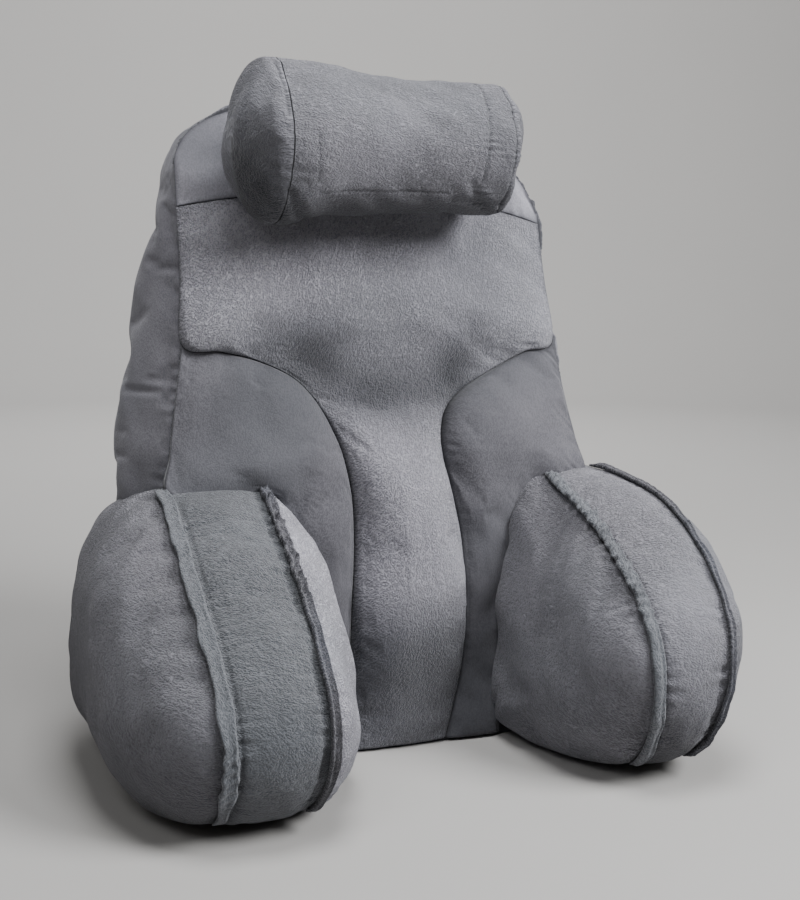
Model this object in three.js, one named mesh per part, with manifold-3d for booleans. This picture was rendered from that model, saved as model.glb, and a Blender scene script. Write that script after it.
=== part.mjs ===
// Backrest cushion with two arms and a head roll, standing upright on its own base.
// Millimetres, +X to the viewer's right, +Y to the rear, +Z up. The origin is the middle of the base.
import * as THREE from 'three';
import Module from 'manifold-3d';

const wasm = await Module();
wasm.setup();

// Driving dimensions
const BASE_DEPTH = 200; // back cushion, front to rear at the floor
const LEAN = 0.2; // the front seams lie on a plane that leans back this much for each unit of height
const GAP = 0.4; // left between neighbouring pieces
const RIM = 3; // thickness of a panel at its sewn edge
const TOP_Z = 684;
// Each shoulder starts at a height and curves in to the top. The power is 2 for an ellipse and more for a
// squarer shoulder
const SHOULDERS = { left: { x: 212, z: 600, power: 2.8 }, right: { x: 206, z: 545, power: 2 } };
const REAR_CROWN = 14;
const HEADREST_CROWN = 12;
const YOKE_MIDDLE_Z = 588;
const ARM_TOP_Z = 284;
// The folded strips: each starts this far from the back and ends this far above the floor
const FOLD = { height: 9, rootClearance: { inner: 17, outer: 9 }, floorClearance: 9 };
const FOLD_WIDTH = { left: { inner: 13, outer: 15 }, right: { inner: 13, outer: 8 } };
const ROLL = { x: -8, z: 631, halfLength: 121 };
const ROLL_ENDS = { left: { y: 36, radius: 79, capSwell: 42 }, right: { y: 49, radius: 67, capSwell: 16 } };
const ROLL_EAR = { height: 3, angle: 0.35, length: 0.25 }; // a slight peak on top of the left rim
const ROLL_BANDS = { left: 28, right: 27 }; // width of the band at each end of the roll

// Half-width of the back at its front seam, from the floor to the shoulder, and how far the side gusset
// swells beyond it
const SIDE_SEAM = [
  { z: 0, x: 240, swell: 0 }, { z: 120, x: 240, swell: 4 }, { z: 235, x: 240, swell: 28 },
  { z: 300, x: 236, swell: 36 }, { z: 355, x: 226, swell: 40 }, { z: 427, x: 214, swell: 42 },
  { z: 490, x: 210, swell: 34 }, { z: 545, x: 209, swell: 20 },
];
const SWELL_SHARE = { left: 1, right: 0.5 }; // the right side is firmer
const SHOULDER_SWELL = 2;
const SHOULDER_EASE = 90; // height over which the side's swell gives way to the shoulder's
const SHOULDER_MIDDLE_Z = 500; // the shoulders swell and taper about this height
const TAPER = { depth: 14, height: 100 }; // how much smaller the shoulders are at the rear

// Rows of the T-shaped front panel, from the floor up: its two edges, the middle of the row, its crown
// and how far in from the edge the crown reaches its height
const FRONT_ROWS = [
  { leftX: 56, leftZ: 4, rightX: 50, rightZ: 4, middleZ: 4, crown: 3, reach: 34 },
  { leftX: 56, leftZ: 42, rightX: 61, rightZ: 38, middleZ: 40, crown: 16, reach: 42 },
  { leftX: 54, leftZ: 92, rightX: 74, rightZ: 85, middleZ: 88, crown: 34, reach: 50 },
  { leftX: 48, leftZ: 152, rightX: 81, rightZ: 146, middleZ: 148, crown: 45, reach: 54 },
  { leftX: 42, leftZ: 212, rightX: 81, rightZ: 212, middleZ: 210, crown: 49, reach: 54 },
  { leftX: 41, leftZ: 262, rightX: 74, rightZ: 262, middleZ: 258, crown: 47, reach: 52 },
  { leftX: 48, leftZ: 306, rightX: 66, rightZ: 304, middleZ: 300, crown: 38, reach: 54 },
  { leftX: 59, leftZ: 338, rightX: 67, rightZ: 332, middleZ: 332, crown: 25, reach: 60 },
  { leftX: 76, leftZ: 369, rightX: 77, rightZ: 356, middleZ: 362, crown: 9, reach: 74 },
  { leftX: 98, leftZ: 392, rightX: 100, rightZ: 376, middleZ: 392, crown: 4, reach: 90 },
  { leftX: 134, leftZ: 409, rightX: 137, rightZ: 396, middleZ: 425, crown: 12, reach: 100 },
  { leftX: 172, leftZ: 419, rightX: 175, rightZ: 413, middleZ: 457, crown: 28, reach: 90 },
  { leftX: 213, leftZ: 427, rightX: 212, rightZ: 424, middleZ: 490, crown: 37, reach: 75 },
  { leftX: 211, leftZ: 498, rightX: 208, rightZ: 494, middleZ: 537, crown: 34, reach: 70 },
  { leftX: 211, leftZ: 567, rightX: 204, rightZ: 556, middleZ: YOKE_MIDDLE_Z, crown: 22, reach: 60 },
];
const WING_ROWS = 12; // rows of that table which the side panels share
// The crowns fall off towards the floor, and again towards the upper edge of each panel
const FOOT = { lift: 6, reach: 40 };
const YOKE = { length: 120, reach: 34 };
// The side panels round off steeply at the inner seam, and slope gently to the outer one, most of all above
// the arms
const WING = { innerReach: 34, besideArm: 62, aboveArm: 130, length: 150, topReach: 40 };

// Outer edge of each side panel, a row for each shared row. The rows without x lie along the arm's root,
// the others above the arm and up the side seam
const WING_EDGES = {
  left: [
    { z: 4, crown: 8 }, { z: 60, crown: 10 }, { z: 122, crown: 14 }, { z: 190, crown: 20 },
    { z: 248, crown: 27 }, { z: 272, crown: 31 },
    { x: 156, z: 276, crown: 33 }, { x: 235, z: 277, crown: 32 }, { x: 232, z: 316, crown: 30 },
    { x: 225, z: 358, crown: 25 }, { x: 220, z: 388, crown: 19 }, { x: 216, z: 408, crown: 12 },
    { x: 214, z: 419, crown: 4 },
  ],
  right: [
    { z: 4, crown: 8 }, { z: 60, crown: 10 }, { z: 118, crown: 11 }, { z: 186, crown: 14 },
    { z: 240, crown: 18 }, { z: 270, crown: 23 },
    { x: 196, z: 277, crown: 28 }, { x: 236, z: 278, crown: 29 }, { x: 232, z: 315, crown: 28 },
    { x: 225, z: 354, crown: 24 }, { x: 220, z: 382, crown: 18 }, { x: 216, z: 404, crown: 11 },
    { x: 214, z: 416, crown: 4 },
  ],
};
const WING_TUCK = 4; // how far a side panel runs in behind the arm
// Share of its crown that each row keeps at the outer edge, where the arm presses against it
const WING_HOLD = [0.5, 0.5, 0.5, 0.5, 0.5, 0.52, 0.55, 0.4, 0.12, 0, 0, 0, 0];

// Seams of each arm, from its root over the top and down the front to the floor: y and z of the inner
// and the outer edge of the gusset, and how far each lies from the middle of the cushion
const ARM_SEAMS = {
  left: [
    { innerX: 141, innerY: 56, innerZ: 284, outerX: 244, outerY: 56, outerZ: 284 },
    { innerX: 145, innerY: 0, innerZ: 270, outerX: 244, outerY: 0, outerZ: 270 },
    { innerX: 147, innerY: -70, innerZ: 238, outerX: 246, outerY: -70, outerZ: 238 },
    { innerX: 147, innerY: -130, innerZ: 200, outerX: 245, outerY: -130, outerZ: 200 },
    { innerX: 148, innerY: -180, innerZ: 162, outerX: 243, outerY: -180, outerZ: 162 },
    { innerX: 148, innerY: -212, innerZ: 120, outerX: 241, outerY: -212, outerZ: 120 },
    { innerX: 149, innerY: -214, innerZ: 80, outerX: 240, outerY: -214, outerZ: 80 },
    { innerX: 154, innerY: -190, innerZ: 38, outerX: 241, outerY: -190, outerZ: 38 },
    { innerX: 158, innerY: -148, innerZ: 10, outerX: 242, outerY: -148, outerZ: 10 },
    { innerX: 158, innerY: -100, innerZ: 0, outerX: 242, outerY: -100, outerZ: 0 },
  ],
  right: [
    { innerX: 186, innerY: 56, innerZ: 284, outerX: 244, outerY: 56, outerZ: 284 },
    { innerX: 182, innerY: 0, innerZ: 269, outerX: 257, outerY: 0, outerZ: 279 },
    { innerX: 179, innerY: -75, innerZ: 248, outerX: 268, outerY: -75, outerZ: 262 },
    { innerX: 175, innerY: -140, innerZ: 219, outerX: 268, outerY: -140, outerZ: 229 },
    { innerX: 173, innerY: -186, innerZ: 189, outerX: 264, outerY: -186, outerZ: 194 },
    { innerX: 172, innerY: -214, innerZ: 156, outerX: 259, outerY: -214, outerZ: 158 },
    { innerX: 172, innerY: -224, innerZ: 121, outerX: 255, outerY: -224, outerZ: 122 },
    { innerX: 174, innerY: -219, innerZ: 84, outerX: 251, outerY: -219, outerZ: 84 },
    { innerX: 179, innerY: -196, innerZ: 44, outerX: 247, outerY: -196, outerZ: 44 },
    { innerX: 184, innerY: -154, innerZ: 12, outerX: 245, outerY: -154, outerZ: 12 },
    { innerX: 186, innerY: -105, innerZ: 0, outerX: 244, outerY: -105, outerZ: 0 },
  ],
};
const ARM_SWELL = {
  left: { inner: 47, outer: 92, gusset: 7 },
  right: { inner: 70, outer: 62, gusset: 8 },
};
// The left inner cheek bellies out over the front panels a little ahead of its root
const BELLY = { left: { share: 0.55, y: -62, reach: 60 }, right: { share: 0, y: 0, reach: 1 } };

// How the outer cheek goes on behind the front seam, along the side of the back
const CHEEK_REAR = [
  { y: 60, z: 0 }, { y: 150, z: 0 }, { y: 184, z: 10 }, { y: 200, z: 45 }, { y: 204, z: 115 },
  { y: 202, z: 180 }, { y: 190, z: 226 }, { y: 152, z: 256 }, { y: 104, z: 276 },
];
const CHEEK_REAR_X = 243;
const ARM_CORE = { y: -70, z: 110 }; // where the flat faces between gusset and cheeks have their middle
// Each cheek swells about a point; the power of its curve is 2 for an ellipse and more for a squarer one
const INNER_DOME = { left: { z: 20, power: 2.4 }, right: { z: 18, power: 1.9 } };
const OUTER_DOME = { left: { y: 10, z: 112, power: 2.2 }, right: { y: 10, z: 112, power: 2 } };

const MATERIALS = {
  plush: new THREE.MeshStandardMaterial({ color: 0x7d7f87, roughness: 0.92, metalness: 0 }),
  plushGusset: new THREE.MeshStandardMaterial({ color: 0x727a82, roughness: 0.92, metalness: 0 }),
  plushFold: new THREE.MeshStandardMaterial({ color: 0x666c73, roughness: 0.95, metalness: 0 }),
};

// Catmull-Rom curve through a list of numbers; t counts entries from 0
function smooth(values, t) {
  const last = values.length - 1;
  const i = Math.min(Math.max(Math.floor(t), 0), last - 1);
  const f = t - i;
  const b = values[i];
  const c = values[i + 1];
  const a = i > 0 ? values[i - 1] : 2 * b - c;
  const d = i + 2 <= last ? values[i + 2] : 2 * c - b;
  const square = 2 * a - 5 * b + 4 * c - d;
  const cube = 3 * b - a - 3 * c + d;
  return 0.5 * (2 * b + (c - a) * f + square * f ** 2 + cube * f ** 3);
}

const column = (table, name) => table.map((row) => row[name]);
const along = (table, name, t) => smooth(column(table, name), t);
const mix = (a, b, f) => a + (b - a) * f;
const ease = (f) => {
  const g = THREE.MathUtils.clamp(f, 0, 1);
  return g * g * (3 - 2 * g);
};
// A sewn edge rises as a quarter of an ellipse: 0 at the seam, 1 from the reach inwards
const rise = (distance, reach) => Math.sqrt(1 - (1 - Math.min(Math.max(distance, 0) / reach, 1)) ** 2);
// A gentler edge: 0 at the seam, 1 from the reach inwards, with an even slope at the seam
const slope = (distance, reach) => Math.sin((Math.PI / 2) * THREE.MathUtils.clamp(distance / reach, 0, 1));
const seamPlane = (z) => LEAN * z;

// A closed solid from its points and triangles, turned so that its faces point out
function solid(points, triangles) {
  const signedVolume = triangles.reduce((sum, [a, b, c]) =>
    sum + points[a].dot(new THREE.Vector3().crossVectors(points[b], points[c])), 0);
  const faces = signedVolume > 0 ? triangles : triangles.map(([a, b, c]) => [a, c, b]);
  const geometry = new THREE.BufferGeometry();
  const coordinates = points.flatMap((p) => p.toArray());
  geometry.setAttribute('position', new THREE.Float32BufferAttribute(coordinates, 3));
  geometry.setIndex(faces.flat());
  return geometry;
}

// A solid through closed rings of equally many points, closed by a fan at each end
function loft(rings, firstMiddle, lastMiddle) {
  const n = rings[0].length;
  const points = [...rings.flat(), firstMiddle, lastMiddle];
  const first = points.length - 2;
  const last = points.length - 1;
  const tail = (rings.length - 1) * n;
  const triangles = [];
  for (let j = 0; j < n; j += 1) {
    const k = (j + 1) % n;
    triangles.push([first, k, j], [last, tail + j, tail + k]);
    for (let i = 0; i < tail; i += n) {
      triangles.push([i + j, i + k, i + n + k], [i + j, i + n + k, i + n + j]);
    }
  }
  return solid(points, triangles);
}

// A panel: a crowned face over a grid of u and v, a rim, and a flat face towards what it is sewn to
function panel(columns, rows, face, flatY) {
  const front = [];
  for (let i = 0; i <= rows; i += 1) {
    for (let j = 0; j <= columns; j += 1) front.push(face(j / columns, i / rows));
  }
  const at = (i, j) => i * (columns + 1) + j;
  const triangles = [];
  for (let i = 0; i < rows; i += 1) {
    for (let j = 0; j < columns; j += 1) {
      const far = at(i + 1, j + 1);
      triangles.push([at(i, j), at(i, j + 1), far], [at(i, j), far, at(i + 1, j)]);
    }
  }
  const border = [];
  for (let j = 0; j < columns; j += 1) border.push(at(0, j));
  for (let i = 0; i < rows; i += 1) border.push(at(i, columns));
  for (let j = columns; j > 0; j -= 1) border.push(at(rows, j));
  for (let i = rows; i > 0; i -= 1) border.push(at(i, 0));
  const back = border.map((k) => new THREE.Vector3(front[k].x, flatY(front[k].z), front[k].z));
  const start = front.length;
  border.forEach((k, n) => {
    const next = (n + 1) % border.length;
    triangles.push([k, start + n, start + next], [k, start + next, border[next]]);
  });
  const outline = back.map((p) => new THREE.Vector2(p.x, p.z));
  const turned = THREE.ShapeUtils.area(outline) < 0;
  for (const [a, b, c] of THREE.ShapeUtils.triangulateShape(outline, [])) {
    triangles.push(turned ? [start + a, start + b, start + c] : [start + a, start + c, start + b]);
  }
  return solid([...front, ...back], triangles);
}

function toManifold(geometry) {
  return new wasm.Manifold(new wasm.Mesh({
    numProp: 3,
    vertProperties: geometry.getAttribute('position').array,
    triVerts: new Uint32Array(geometry.getIndex().array),
  }));
}

// What is left of a piece once its neighbours, each moved towards it by the gap, have pressed into it
function pressed(geometry, neighbours) {
  let piece = toManifold(geometry);
  for (const { by, x = 0, y = 0, z = 0 } of neighbours) {
    piece = piece.subtract(toManifold(by.clone().translate(x, y, z)));
  }
  const [largest] = piece.decompose().sort((a, b) => b.volume() - a.volume());
  const mesh = largest.getMesh();
  const result = new THREE.BufferGeometry();
  result.setAttribute('position', new THREE.Float32BufferAttribute(mesh.vertProperties, 3));
  result.setIndex(Array.from(mesh.triVerts));
  return result;
}

const cushion = new THREE.Group();
function add(name, geometry, material) {
  const placed = geometry.clone();
  placed.computeVertexNormals();
  const mesh = new THREE.Mesh(placed, material);
  mesh.name = name;
  cushion.add(mesh);
}

// The outline of one side of the back from the floor to the top, each point with its swell
function sideOutline(side) {
  const shoulder = SHOULDERS[side];
  const points = [];
  const steps = 13;
  for (let i = 0; i <= steps; i += 1) {
    const t = (i / steps) * (SIDE_SEAM.length - 1);
    const swell = along(SIDE_SEAM, 'swell', t) * SWELL_SHARE[side];
    points.push({ x: along(SIDE_SEAM, 'x', t), z: along(SIDE_SEAM, 'z', t), swell });
  }
  const turns = 9;
  for (let i = side === 'left' ? 0 : 1; i < turns; i += 1) {
    const angle = (i / turns) * (Math.PI / 2);
    const z = shoulder.z + (TOP_Z - shoulder.z) * Math.sin(angle) ** (2 / shoulder.power);
    const swell = mix(points.at(-1).swell, SHOULDER_SWELL, ease((z - SIDE_SEAM.at(-1).z) / SHOULDER_EASE));
    points.push({ x: shoulder.x * Math.cos(angle) ** (2 / shoulder.power), z, swell });
  }
  return points;
}

// Once round the back: up the left side, over the top, down the right side and back along the floor
function backOutline() {
  const left = sideOutline('left').map((p) => ({ ...p, x: -p.x }));
  const right = sideOutline('right').reverse();
  const floor = [0.5, 0, -0.5].map((f) => ({ x: f * SIDE_SEAM[0].x, z: 0, swell: 0 }));
  return [...left, { x: 0, z: TOP_Z, swell: SHOULDER_SWELL }, ...right, ...floor];
}

// The same outline at a share of the depth: the side gusset swells between the front and the rear seam
function backRing(depth) {
  return backOutline().map((p) => {
    const away = new THREE.Vector2(p.x, Math.max(p.z - SHOULDER_MIDDLE_Z, 0)).normalize();
    const taper = TAPER.depth * depth * ease((p.z - SHOULDER_MIDDLE_Z) / TAPER.height);
    const out = p.swell * Math.sin(Math.PI * depth ** 1.3) - taper;
    const x = p.x + out * away.x;
    const z = p.z + out * away.y;
    return new THREE.Vector3(x, mix(seamPlane(z), BASE_DEPTH, depth), z);
  });
}

const BACK_MIDDLE_Z = 300;

function backBody() {
  return loft(
    [0, 0.08, 0.2, 0.36, 0.55, 0.75, 0.9, 1].map(backRing),
    new THREE.Vector3(0, seamPlane(BACK_MIDDLE_Z), BACK_MIDDLE_Z),
    new THREE.Vector3(0, BASE_DEPTH, BACK_MIDDLE_Z),
  );
}

// The rear panel lies a little inside the rear outline, and swells towards its middle
function rearPanel() {
  const outline = backRing(1);
  const largest = 0.988;
  const reach = 0.4;
  const ring = (size, y) => outline.map((p) =>
    new THREE.Vector3(p.x * size, y, mix(BACK_MIDDLE_Z, p.z, size)));
  const flatY = BASE_DEPTH + GAP;
  const crowned = [1, 0.985, 0.95, 0.89, 0.8, 0.67, 0.45].map((size) =>
    ring(size * largest, flatY + RIM + REAR_CROWN * rise(1 - size, reach)));
  return loft(
    [ring(largest, flatY), ...crowned],
    new THREE.Vector3(0, flatY, BACK_MIDDLE_Z),
    new THREE.Vector3(0, flatY + RIM + REAR_CROWN, BACK_MIDDLE_Z),
  );
}

// A point on the seam between the T-shaped panel and a side panel, moved across the seam by a distance
function frontEdge(side, t, distance) {
  const place = (s) =>
    new THREE.Vector2(along(FRONT_ROWS, `${side}X`, s), along(FRONT_ROWS, `${side}Z`, s));
  const step = 0.05;
  const run = place(t + step).sub(place(t - step)).normalize();
  return place(t).add(new THREE.Vector2(run.y, -run.x).multiplyScalar(distance));
}

const COLUMNS = 20;
const FRONT_STEPS = 2; // rows of facets for each row of the table
// Closer columns towards the sides, where the crown is steep
const spread = (u) => Math.sin((u - 0.5) * Math.PI);

function frontPanel() {
  const last = FRONT_ROWS.length - 1;
  return panel(COLUMNS, last * FRONT_STEPS, (u, v) => {
    const t = v * last;
    const across = spread(u);
    const edge = frontEdge(across < 0 ? 'left' : 'right', t, -GAP);
    const half = edge.x;
    const x = across * half;
    const z = mix(edge.y, along(FRONT_ROWS, 'middleZ', t), 1 - across * across);
    const fromSide = (1 - Math.abs(across)) * half;
    const crown = along(FRONT_ROWS, 'crown', t)
      * rise(fromSide, along(FRONT_ROWS, 'reach', t))
      * rise(z + FOOT.lift, FOOT.reach)
      * rise((1 - v) * YOKE.length, YOKE.reach);
    return new THREE.Vector3(x, seamPlane(z) - GAP - RIM - crown, z);
  }, (z) => seamPlane(z) - GAP);
}

// Half the distance between the arms where they meet the front panels: the inner cheek's line there
function armRootX(side, z) {
  const dome = INNER_DOME[side];
  const size = Math.max(z - dome.z, 0) / (ARM_TOP_Z - dome.z);
  const out = ARM_SWELL[side].inner * (1 - size ** dome.power) ** (1 / dome.power)
    * bellied(BELLY[side], seamPlane(z));
  return mix(Math.abs(armMiddle(side, 'inner', 0).x), ARM_SEAMS[side][0].innerX, size) - out;
}

function wingPanel(side) {
  const sign = side === 'left' ? -1 : 1;
  const edges = WING_EDGES[side].map((row) => ({ x: armRootX(side, row.z) + WING_TUCK, ...row }));
  return panel(12, WING_ROWS * FRONT_STEPS, (u, v) => {
    const t = v * WING_ROWS;
    const inner = frontEdge(side, t, GAP);
    const outer = new THREE.Vector2(along(edges, 'x', t), along(edges, 'z', t));
    const f = mix(u, (1 + spread(u)) / 2, 0.6);
    const x = mix(inner.x, outer.x, f);
    const z = mix(inner.y, outer.y, f);
    const width = inner.distanceTo(outer);
    const outerReach = mix(WING.besideArm, WING.aboveArm, ease((t - 4.5) / 2));
    const crown = along(edges, 'crown', t)
      * rise(f * width, WING.innerReach)
      * mix(Math.max(smooth(WING_HOLD, t), 0), 1, slope((1 - f) * width, outerReach))
      * rise(z + FOOT.lift, FOOT.reach)
      * rise((1 - v) * WING.length, WING.topReach);
    return new THREE.Vector3(sign * x, seamPlane(z) - GAP - RIM - crown, z);
  }, (z) => seamPlane(z) - GAP);
}

function headrestPanel() {
  const last = FRONT_ROWS.length - 1;
  return panel(COLUMNS, 7, (u, v) => {
    const across = spread(u);
    const side = across < 0 ? 'left' : 'right';
    const corner = frontEdge(side, last, -GAP);
    const x = across * corner.x;
    const yokeZ = mix(corner.y, YOKE_MIDDLE_Z, 1 - across * across) + 2 * GAP;
    const { power, x: widest, z: low } = SHOULDERS[side];
    const share = Math.min(Math.abs(x) / (widest - 1), 1);
    const topZ = Math.max(low + (TOP_Z - low) * (1 - share ** power) ** (1 / power) - 3, corner.y + 12);
    const z = mix(yokeZ, topZ, v);
    const crown = HEADREST_CROWN
      * rise((1 - Math.abs(across)) * corner.x, 60)
      * rise(Math.min(z - yokeZ, topZ - z), 30);
    return new THREE.Vector3(x, seamPlane(z) - GAP - RIM - crown, z);
  }, (z) => seamPlane(z) - GAP);
}

// A point of an arm's seam: edge is inner or outer
function armSeam(side, edge, t) {
  const sign = side === 'left' ? -1 : 1;
  const rows = ARM_SEAMS[side];
  const z = Math.max(along(rows, `${edge}Z`, t), 0);
  const y = Math.min(along(rows, `${edge}Y`, t), seamPlane(z) - GAP);
  return new THREE.Vector3(sign * along(rows, `${edge}X`, t), y, z);
}

const ARM_STEPS = 26;
// The seam as a list of points, ending with the way back along the floor to the foot of the back
function armRing(side, edge) {
  const rows = ARM_SEAMS[side].length - 1;
  const ring = [];
  for (let i = 0; i <= ARM_STEPS; i += 1) ring.push(armSeam(side, edge, (i / ARM_STEPS) * rows));
  const heel = ring[ring.length - 1];
  ring.push(new THREE.Vector3(heel.x, heel.y / 2, 0), new THREE.Vector3(heel.x, -GAP, 0));
  return ring;
}

function armMiddle(side, edge, shift) {
  const ring = armRing(side, edge);
  const x = ring.reduce((sum, p) => sum + p.x, 0) / ring.length;
  return new THREE.Vector3(x + shift, ARM_CORE.y, ARM_CORE.z);
}

// The strip over the top and down the front of an arm, filled between the two cheeks
function armGusset(side) {
  const inner = armRing(side, 'inner');
  const outer = armRing(side, 'outer');
  const sign = side === 'left' ? -1 : 1;
  const channel = 0.11; // level beside each seam, where the fold lies
  const across = [0, channel, 0.2, 0.34, 0.5, 0.66, 0.8, 1 - channel, 1];
  const rings = across.map((f) => inner.map((p, i) => {
    const q = outer[i];
    const onCurve = i > 0 && i < ARM_STEPS;
    const before = inner[Math.max(i - 1, 0)];
    const after = inner[i + 1 < inner.length ? i + 1 : i];
    const outwards = new THREE.Vector3(0, -(before.z - after.z), before.y - after.y).normalize();
    const free = onCurve ? ease(i / 4) * ease((ARM_STEPS - 1 - i) / 5) : 0;
    const swell = ARM_SWELL[side].gusset * free * rise(Math.min(f, 1 - f) - channel, 0.5 - channel);
    const share = ease((f - channel) / (1 - 2 * channel));
    const place = p.clone().lerp(q, share).addScaledVector(outwards, swell);
    place.x = mix(p.x, q.x, f) + sign * mix(GAP, -GAP, f);
    return place;
  }));
  return loft(rings, armMiddle(side, 'inner', sign * GAP), armMiddle(side, 'outer', -sign * GAP));
}

const bellied = (belly, y) => 1 + belly.share * Math.exp(-(((y - belly.y) / belly.reach) ** 2));

// A cheek: rings of its seam, drawn in towards a point while they swell sideways
function cheek(side, edge, rim, dome, swell, belly = { share: 0, y: 0, reach: 1 }) {
  const sign = (side === 'left' ? -1 : 1) * (edge === 'inner' ? -1 : 1);
  const steps = 8;
  const middle = armMiddle(side, edge, 0);
  const rings = [];
  for (let i = 0; i < steps; i += 1) {
    const angle = (i / steps) * (Math.PI / 2);
    const size = Math.cos(angle) ** (2 / dome.power);
    const out = sign * swell * Math.sin(angle) ** (2 / dome.power);
    rings.push(rim.map((p) => {
      const y = mix(dome.y, p.y, size);
      const x = mix(middle.x, p.x, size) + out * bellied(belly, y);
      return new THREE.Vector3(x, y, mix(dome.z, p.z, size));
    }));
  }
  const top = sign * swell * bellied(belly, dome.y);
  return loft(rings, middle, new THREE.Vector3(middle.x + top, dome.y, dome.z));
}

function outerCheek(side) {
  const sign = side === 'left' ? -1 : 1;
  const front = armRing(side, 'outer').slice(0, -2);
  const rear = [];
  const rearSteps = 12;
  for (let i = 0; i <= rearSteps; i += 1) {
    const t = (i / rearSteps) * (CHEEK_REAR.length - 1);
    rear.push(new THREE.Vector3(
      sign * CHEEK_REAR_X,
      along(CHEEK_REAR, 'y', t),
      Math.max(along(CHEEK_REAR, 'z', t), 0),
    ));
  }
  return cheek(side, 'outer', [...front, ...rear], OUTER_DOME[side], ARM_SWELL[side].outer);
}

function innerCheek(side) {
  const dome = { ...INNER_DOME[side], y: seamPlane(INNER_DOME[side].z) - GAP };
  return cheek(side, 'inner', armRing(side, 'inner'), dome, ARM_SWELL[side].inner, BELLY[side]);
}

// A folded strip that stands along a seam: two ridges with a groove between them
function fold(side, edge) {
  const rows = ARM_SEAMS[side].length - 1;
  const section = [
    { x: -0.5, out: 0.05 }, { x: 0.5, out: 0.05 }, { x: 0.58, out: 0.5 },
    { x: 0.42, out: 0.95 }, { x: 0.2, out: 1 }, { x: 0, out: 0.78 },
    { x: -0.2, out: 1 }, { x: -0.42, out: 0.95 }, { x: -0.58, out: 0.5 },
  ];
  const steps = 60;
  const path = [];
  for (let i = 0; i <= steps; i += 1) {
    const t = (i / steps) * rows;
    const p = armSeam(side, edge, t);
    const ahead = armSeam(side, edge, Math.min(t + 0.1, rows));
    const behind = armSeam(side, edge, Math.max(t - 0.1, 0));
    const outwards = new THREE.Vector3(0, -(behind.z - ahead.z), behind.y - ahead.y).normalize();
    const lowest = p.z + Math.min(outwards.z, 0) * FOLD.height;
    const clear = p.y < seamPlane(p.z) - FOLD.rootClearance[edge] && lowest > FOLD.floorClearance;
    if (clear) path.push({ p, outwards });
  }
  const ends = 2;
  const rings = path.map(({ p, outwards }, i) => {
    const taper = mix(0.55, 1, Math.min(Math.min(i, path.length - 1 - i) / ends, 1));
    return section.map((s) => new THREE.Vector3(p.x + s.x * FOLD_WIDTH[side][edge] * taper, p.y, p.z)
      .addScaledVector(outwards, GAP + s.out * FOLD.height * taper));
  });
  const middle = (ring) =>
    ring.reduce((sum, q) => sum.add(q), new THREE.Vector3()).divideScalar(ring.length);
  return loft(rings, middle(rings[0]), middle(rings.at(-1)));
}

// Rings of the head roll between two places along it; places run from -1 at the left rim to 1
function rollRings(places, size) {
  const around = 26;
  return places.map((place, n) => {
    const f = (place + 1) / 2;
    const radius = mix(ROLL_ENDS.left.radius, ROLL_ENDS.right.radius, ease(f * 2)) * (size ? size[n] : 1);
    const y = mix(ROLL_ENDS.left.y, ROLL_ENDS.right.y, f);
    return Array.from({ length: around }, (_, j) => {
      const angle = (j / around) * 2 * Math.PI;
      const ear = ROLL_EAR.height
        * Math.exp(-(((angle - Math.PI / 2) / ROLL_EAR.angle) ** 2))
        * Math.exp(-(((place + 1) / ROLL_EAR.length) ** 2));
      const r = radius + (size && size[n] < 1 ? 0 : ear);
      return new THREE.Vector3(
        ROLL.x + place * ROLL.halfLength,
        y + r * Math.cos(angle),
        ROLL.z + r * Math.sin(angle),
      );
    });
  });
}

function rollSection(from, to) {
  const steps = Math.max(Math.round((to - from) / 0.2), 2);
  const places = Array.from({ length: steps + 1 }, (_, i) => mix(from, to, i / steps));
  const middle = (place) => new THREE.Vector3(
    ROLL.x + place * ROLL.halfLength,
    mix(ROLL_ENDS.left.y, ROLL_ENDS.right.y, (place + 1) / 2),
    ROLL.z,
  );
  return loft(rollRings(places), middle(from), middle(to));
}

function rollCap(sign) {
  const steps = [0, 0.2, 0.45, 0.72];
  const inset = GAP / ROLL.halfLength;
  const { y, capSwell } = sign < 0 ? ROLL_ENDS.left : ROLL_ENDS.right;
  const rings = steps.map((f) => {
    const out = (capSwell * Math.sin(f * (Math.PI / 2))) / ROLL.halfLength;
    return rollRings([sign * (1 + inset + out)], [Math.cos(f * (Math.PI / 2)) ** 0.8 * 0.999])[0];
  });
  const rimX = ROLL.x + sign * (ROLL.halfLength + GAP);
  return loft(
    rings,
    new THREE.Vector3(rimX, y, ROLL.z),
    new THREE.Vector3(rimX + sign * capSwell, y, ROLL.z),
  );
}

const body = backBody();
const headrest = headrestPanel();
const front = frontPanel();
add('back_body', body, MATERIALS.plushGusset);
add('rear_panel', rearPanel(), MATERIALS.plushGusset);
add('headrest_panel', headrest, MATERIALS.plush);
add('front_panel', front, MATERIALS.plush);

for (const side of ['left', 'right']) {
  const outwards = side === 'left' ? -GAP : GAP;
  const wing = wingPanel(side);
  const gusset = pressed(armGusset(side), [{ by: wing, y: -GAP, z: -GAP }]);
  const inner = pressed(innerCheek(side), [
    { by: gusset, x: -outwards },
    { by: wing },
    { by: wing, x: outwards, y: -GAP, z: -GAP },
  ]);
  const outer = pressed(outerCheek(side), [{ by: gusset, x: outwards }, { by: body, x: outwards }]);
  add(`wing_panel_${side}`, wing, MATERIALS.plush);
  add(`arm_gusset_${side}`, gusset, MATERIALS.plushGusset);
  add(`arm_inner_cheek_${side}`, inner, MATERIALS.plush);
  add(`arm_outer_cheek_${side}`, outer, MATERIALS.plush);
  for (const edge of ['inner', 'outer']) {
    const strip = pressed(fold(side, edge), [{ by: wing, y: -GAP, z: -GAP }]);
    add(`fold_${edge}_${side}`, strip, MATERIALS.plushFold);
  }
}

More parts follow.
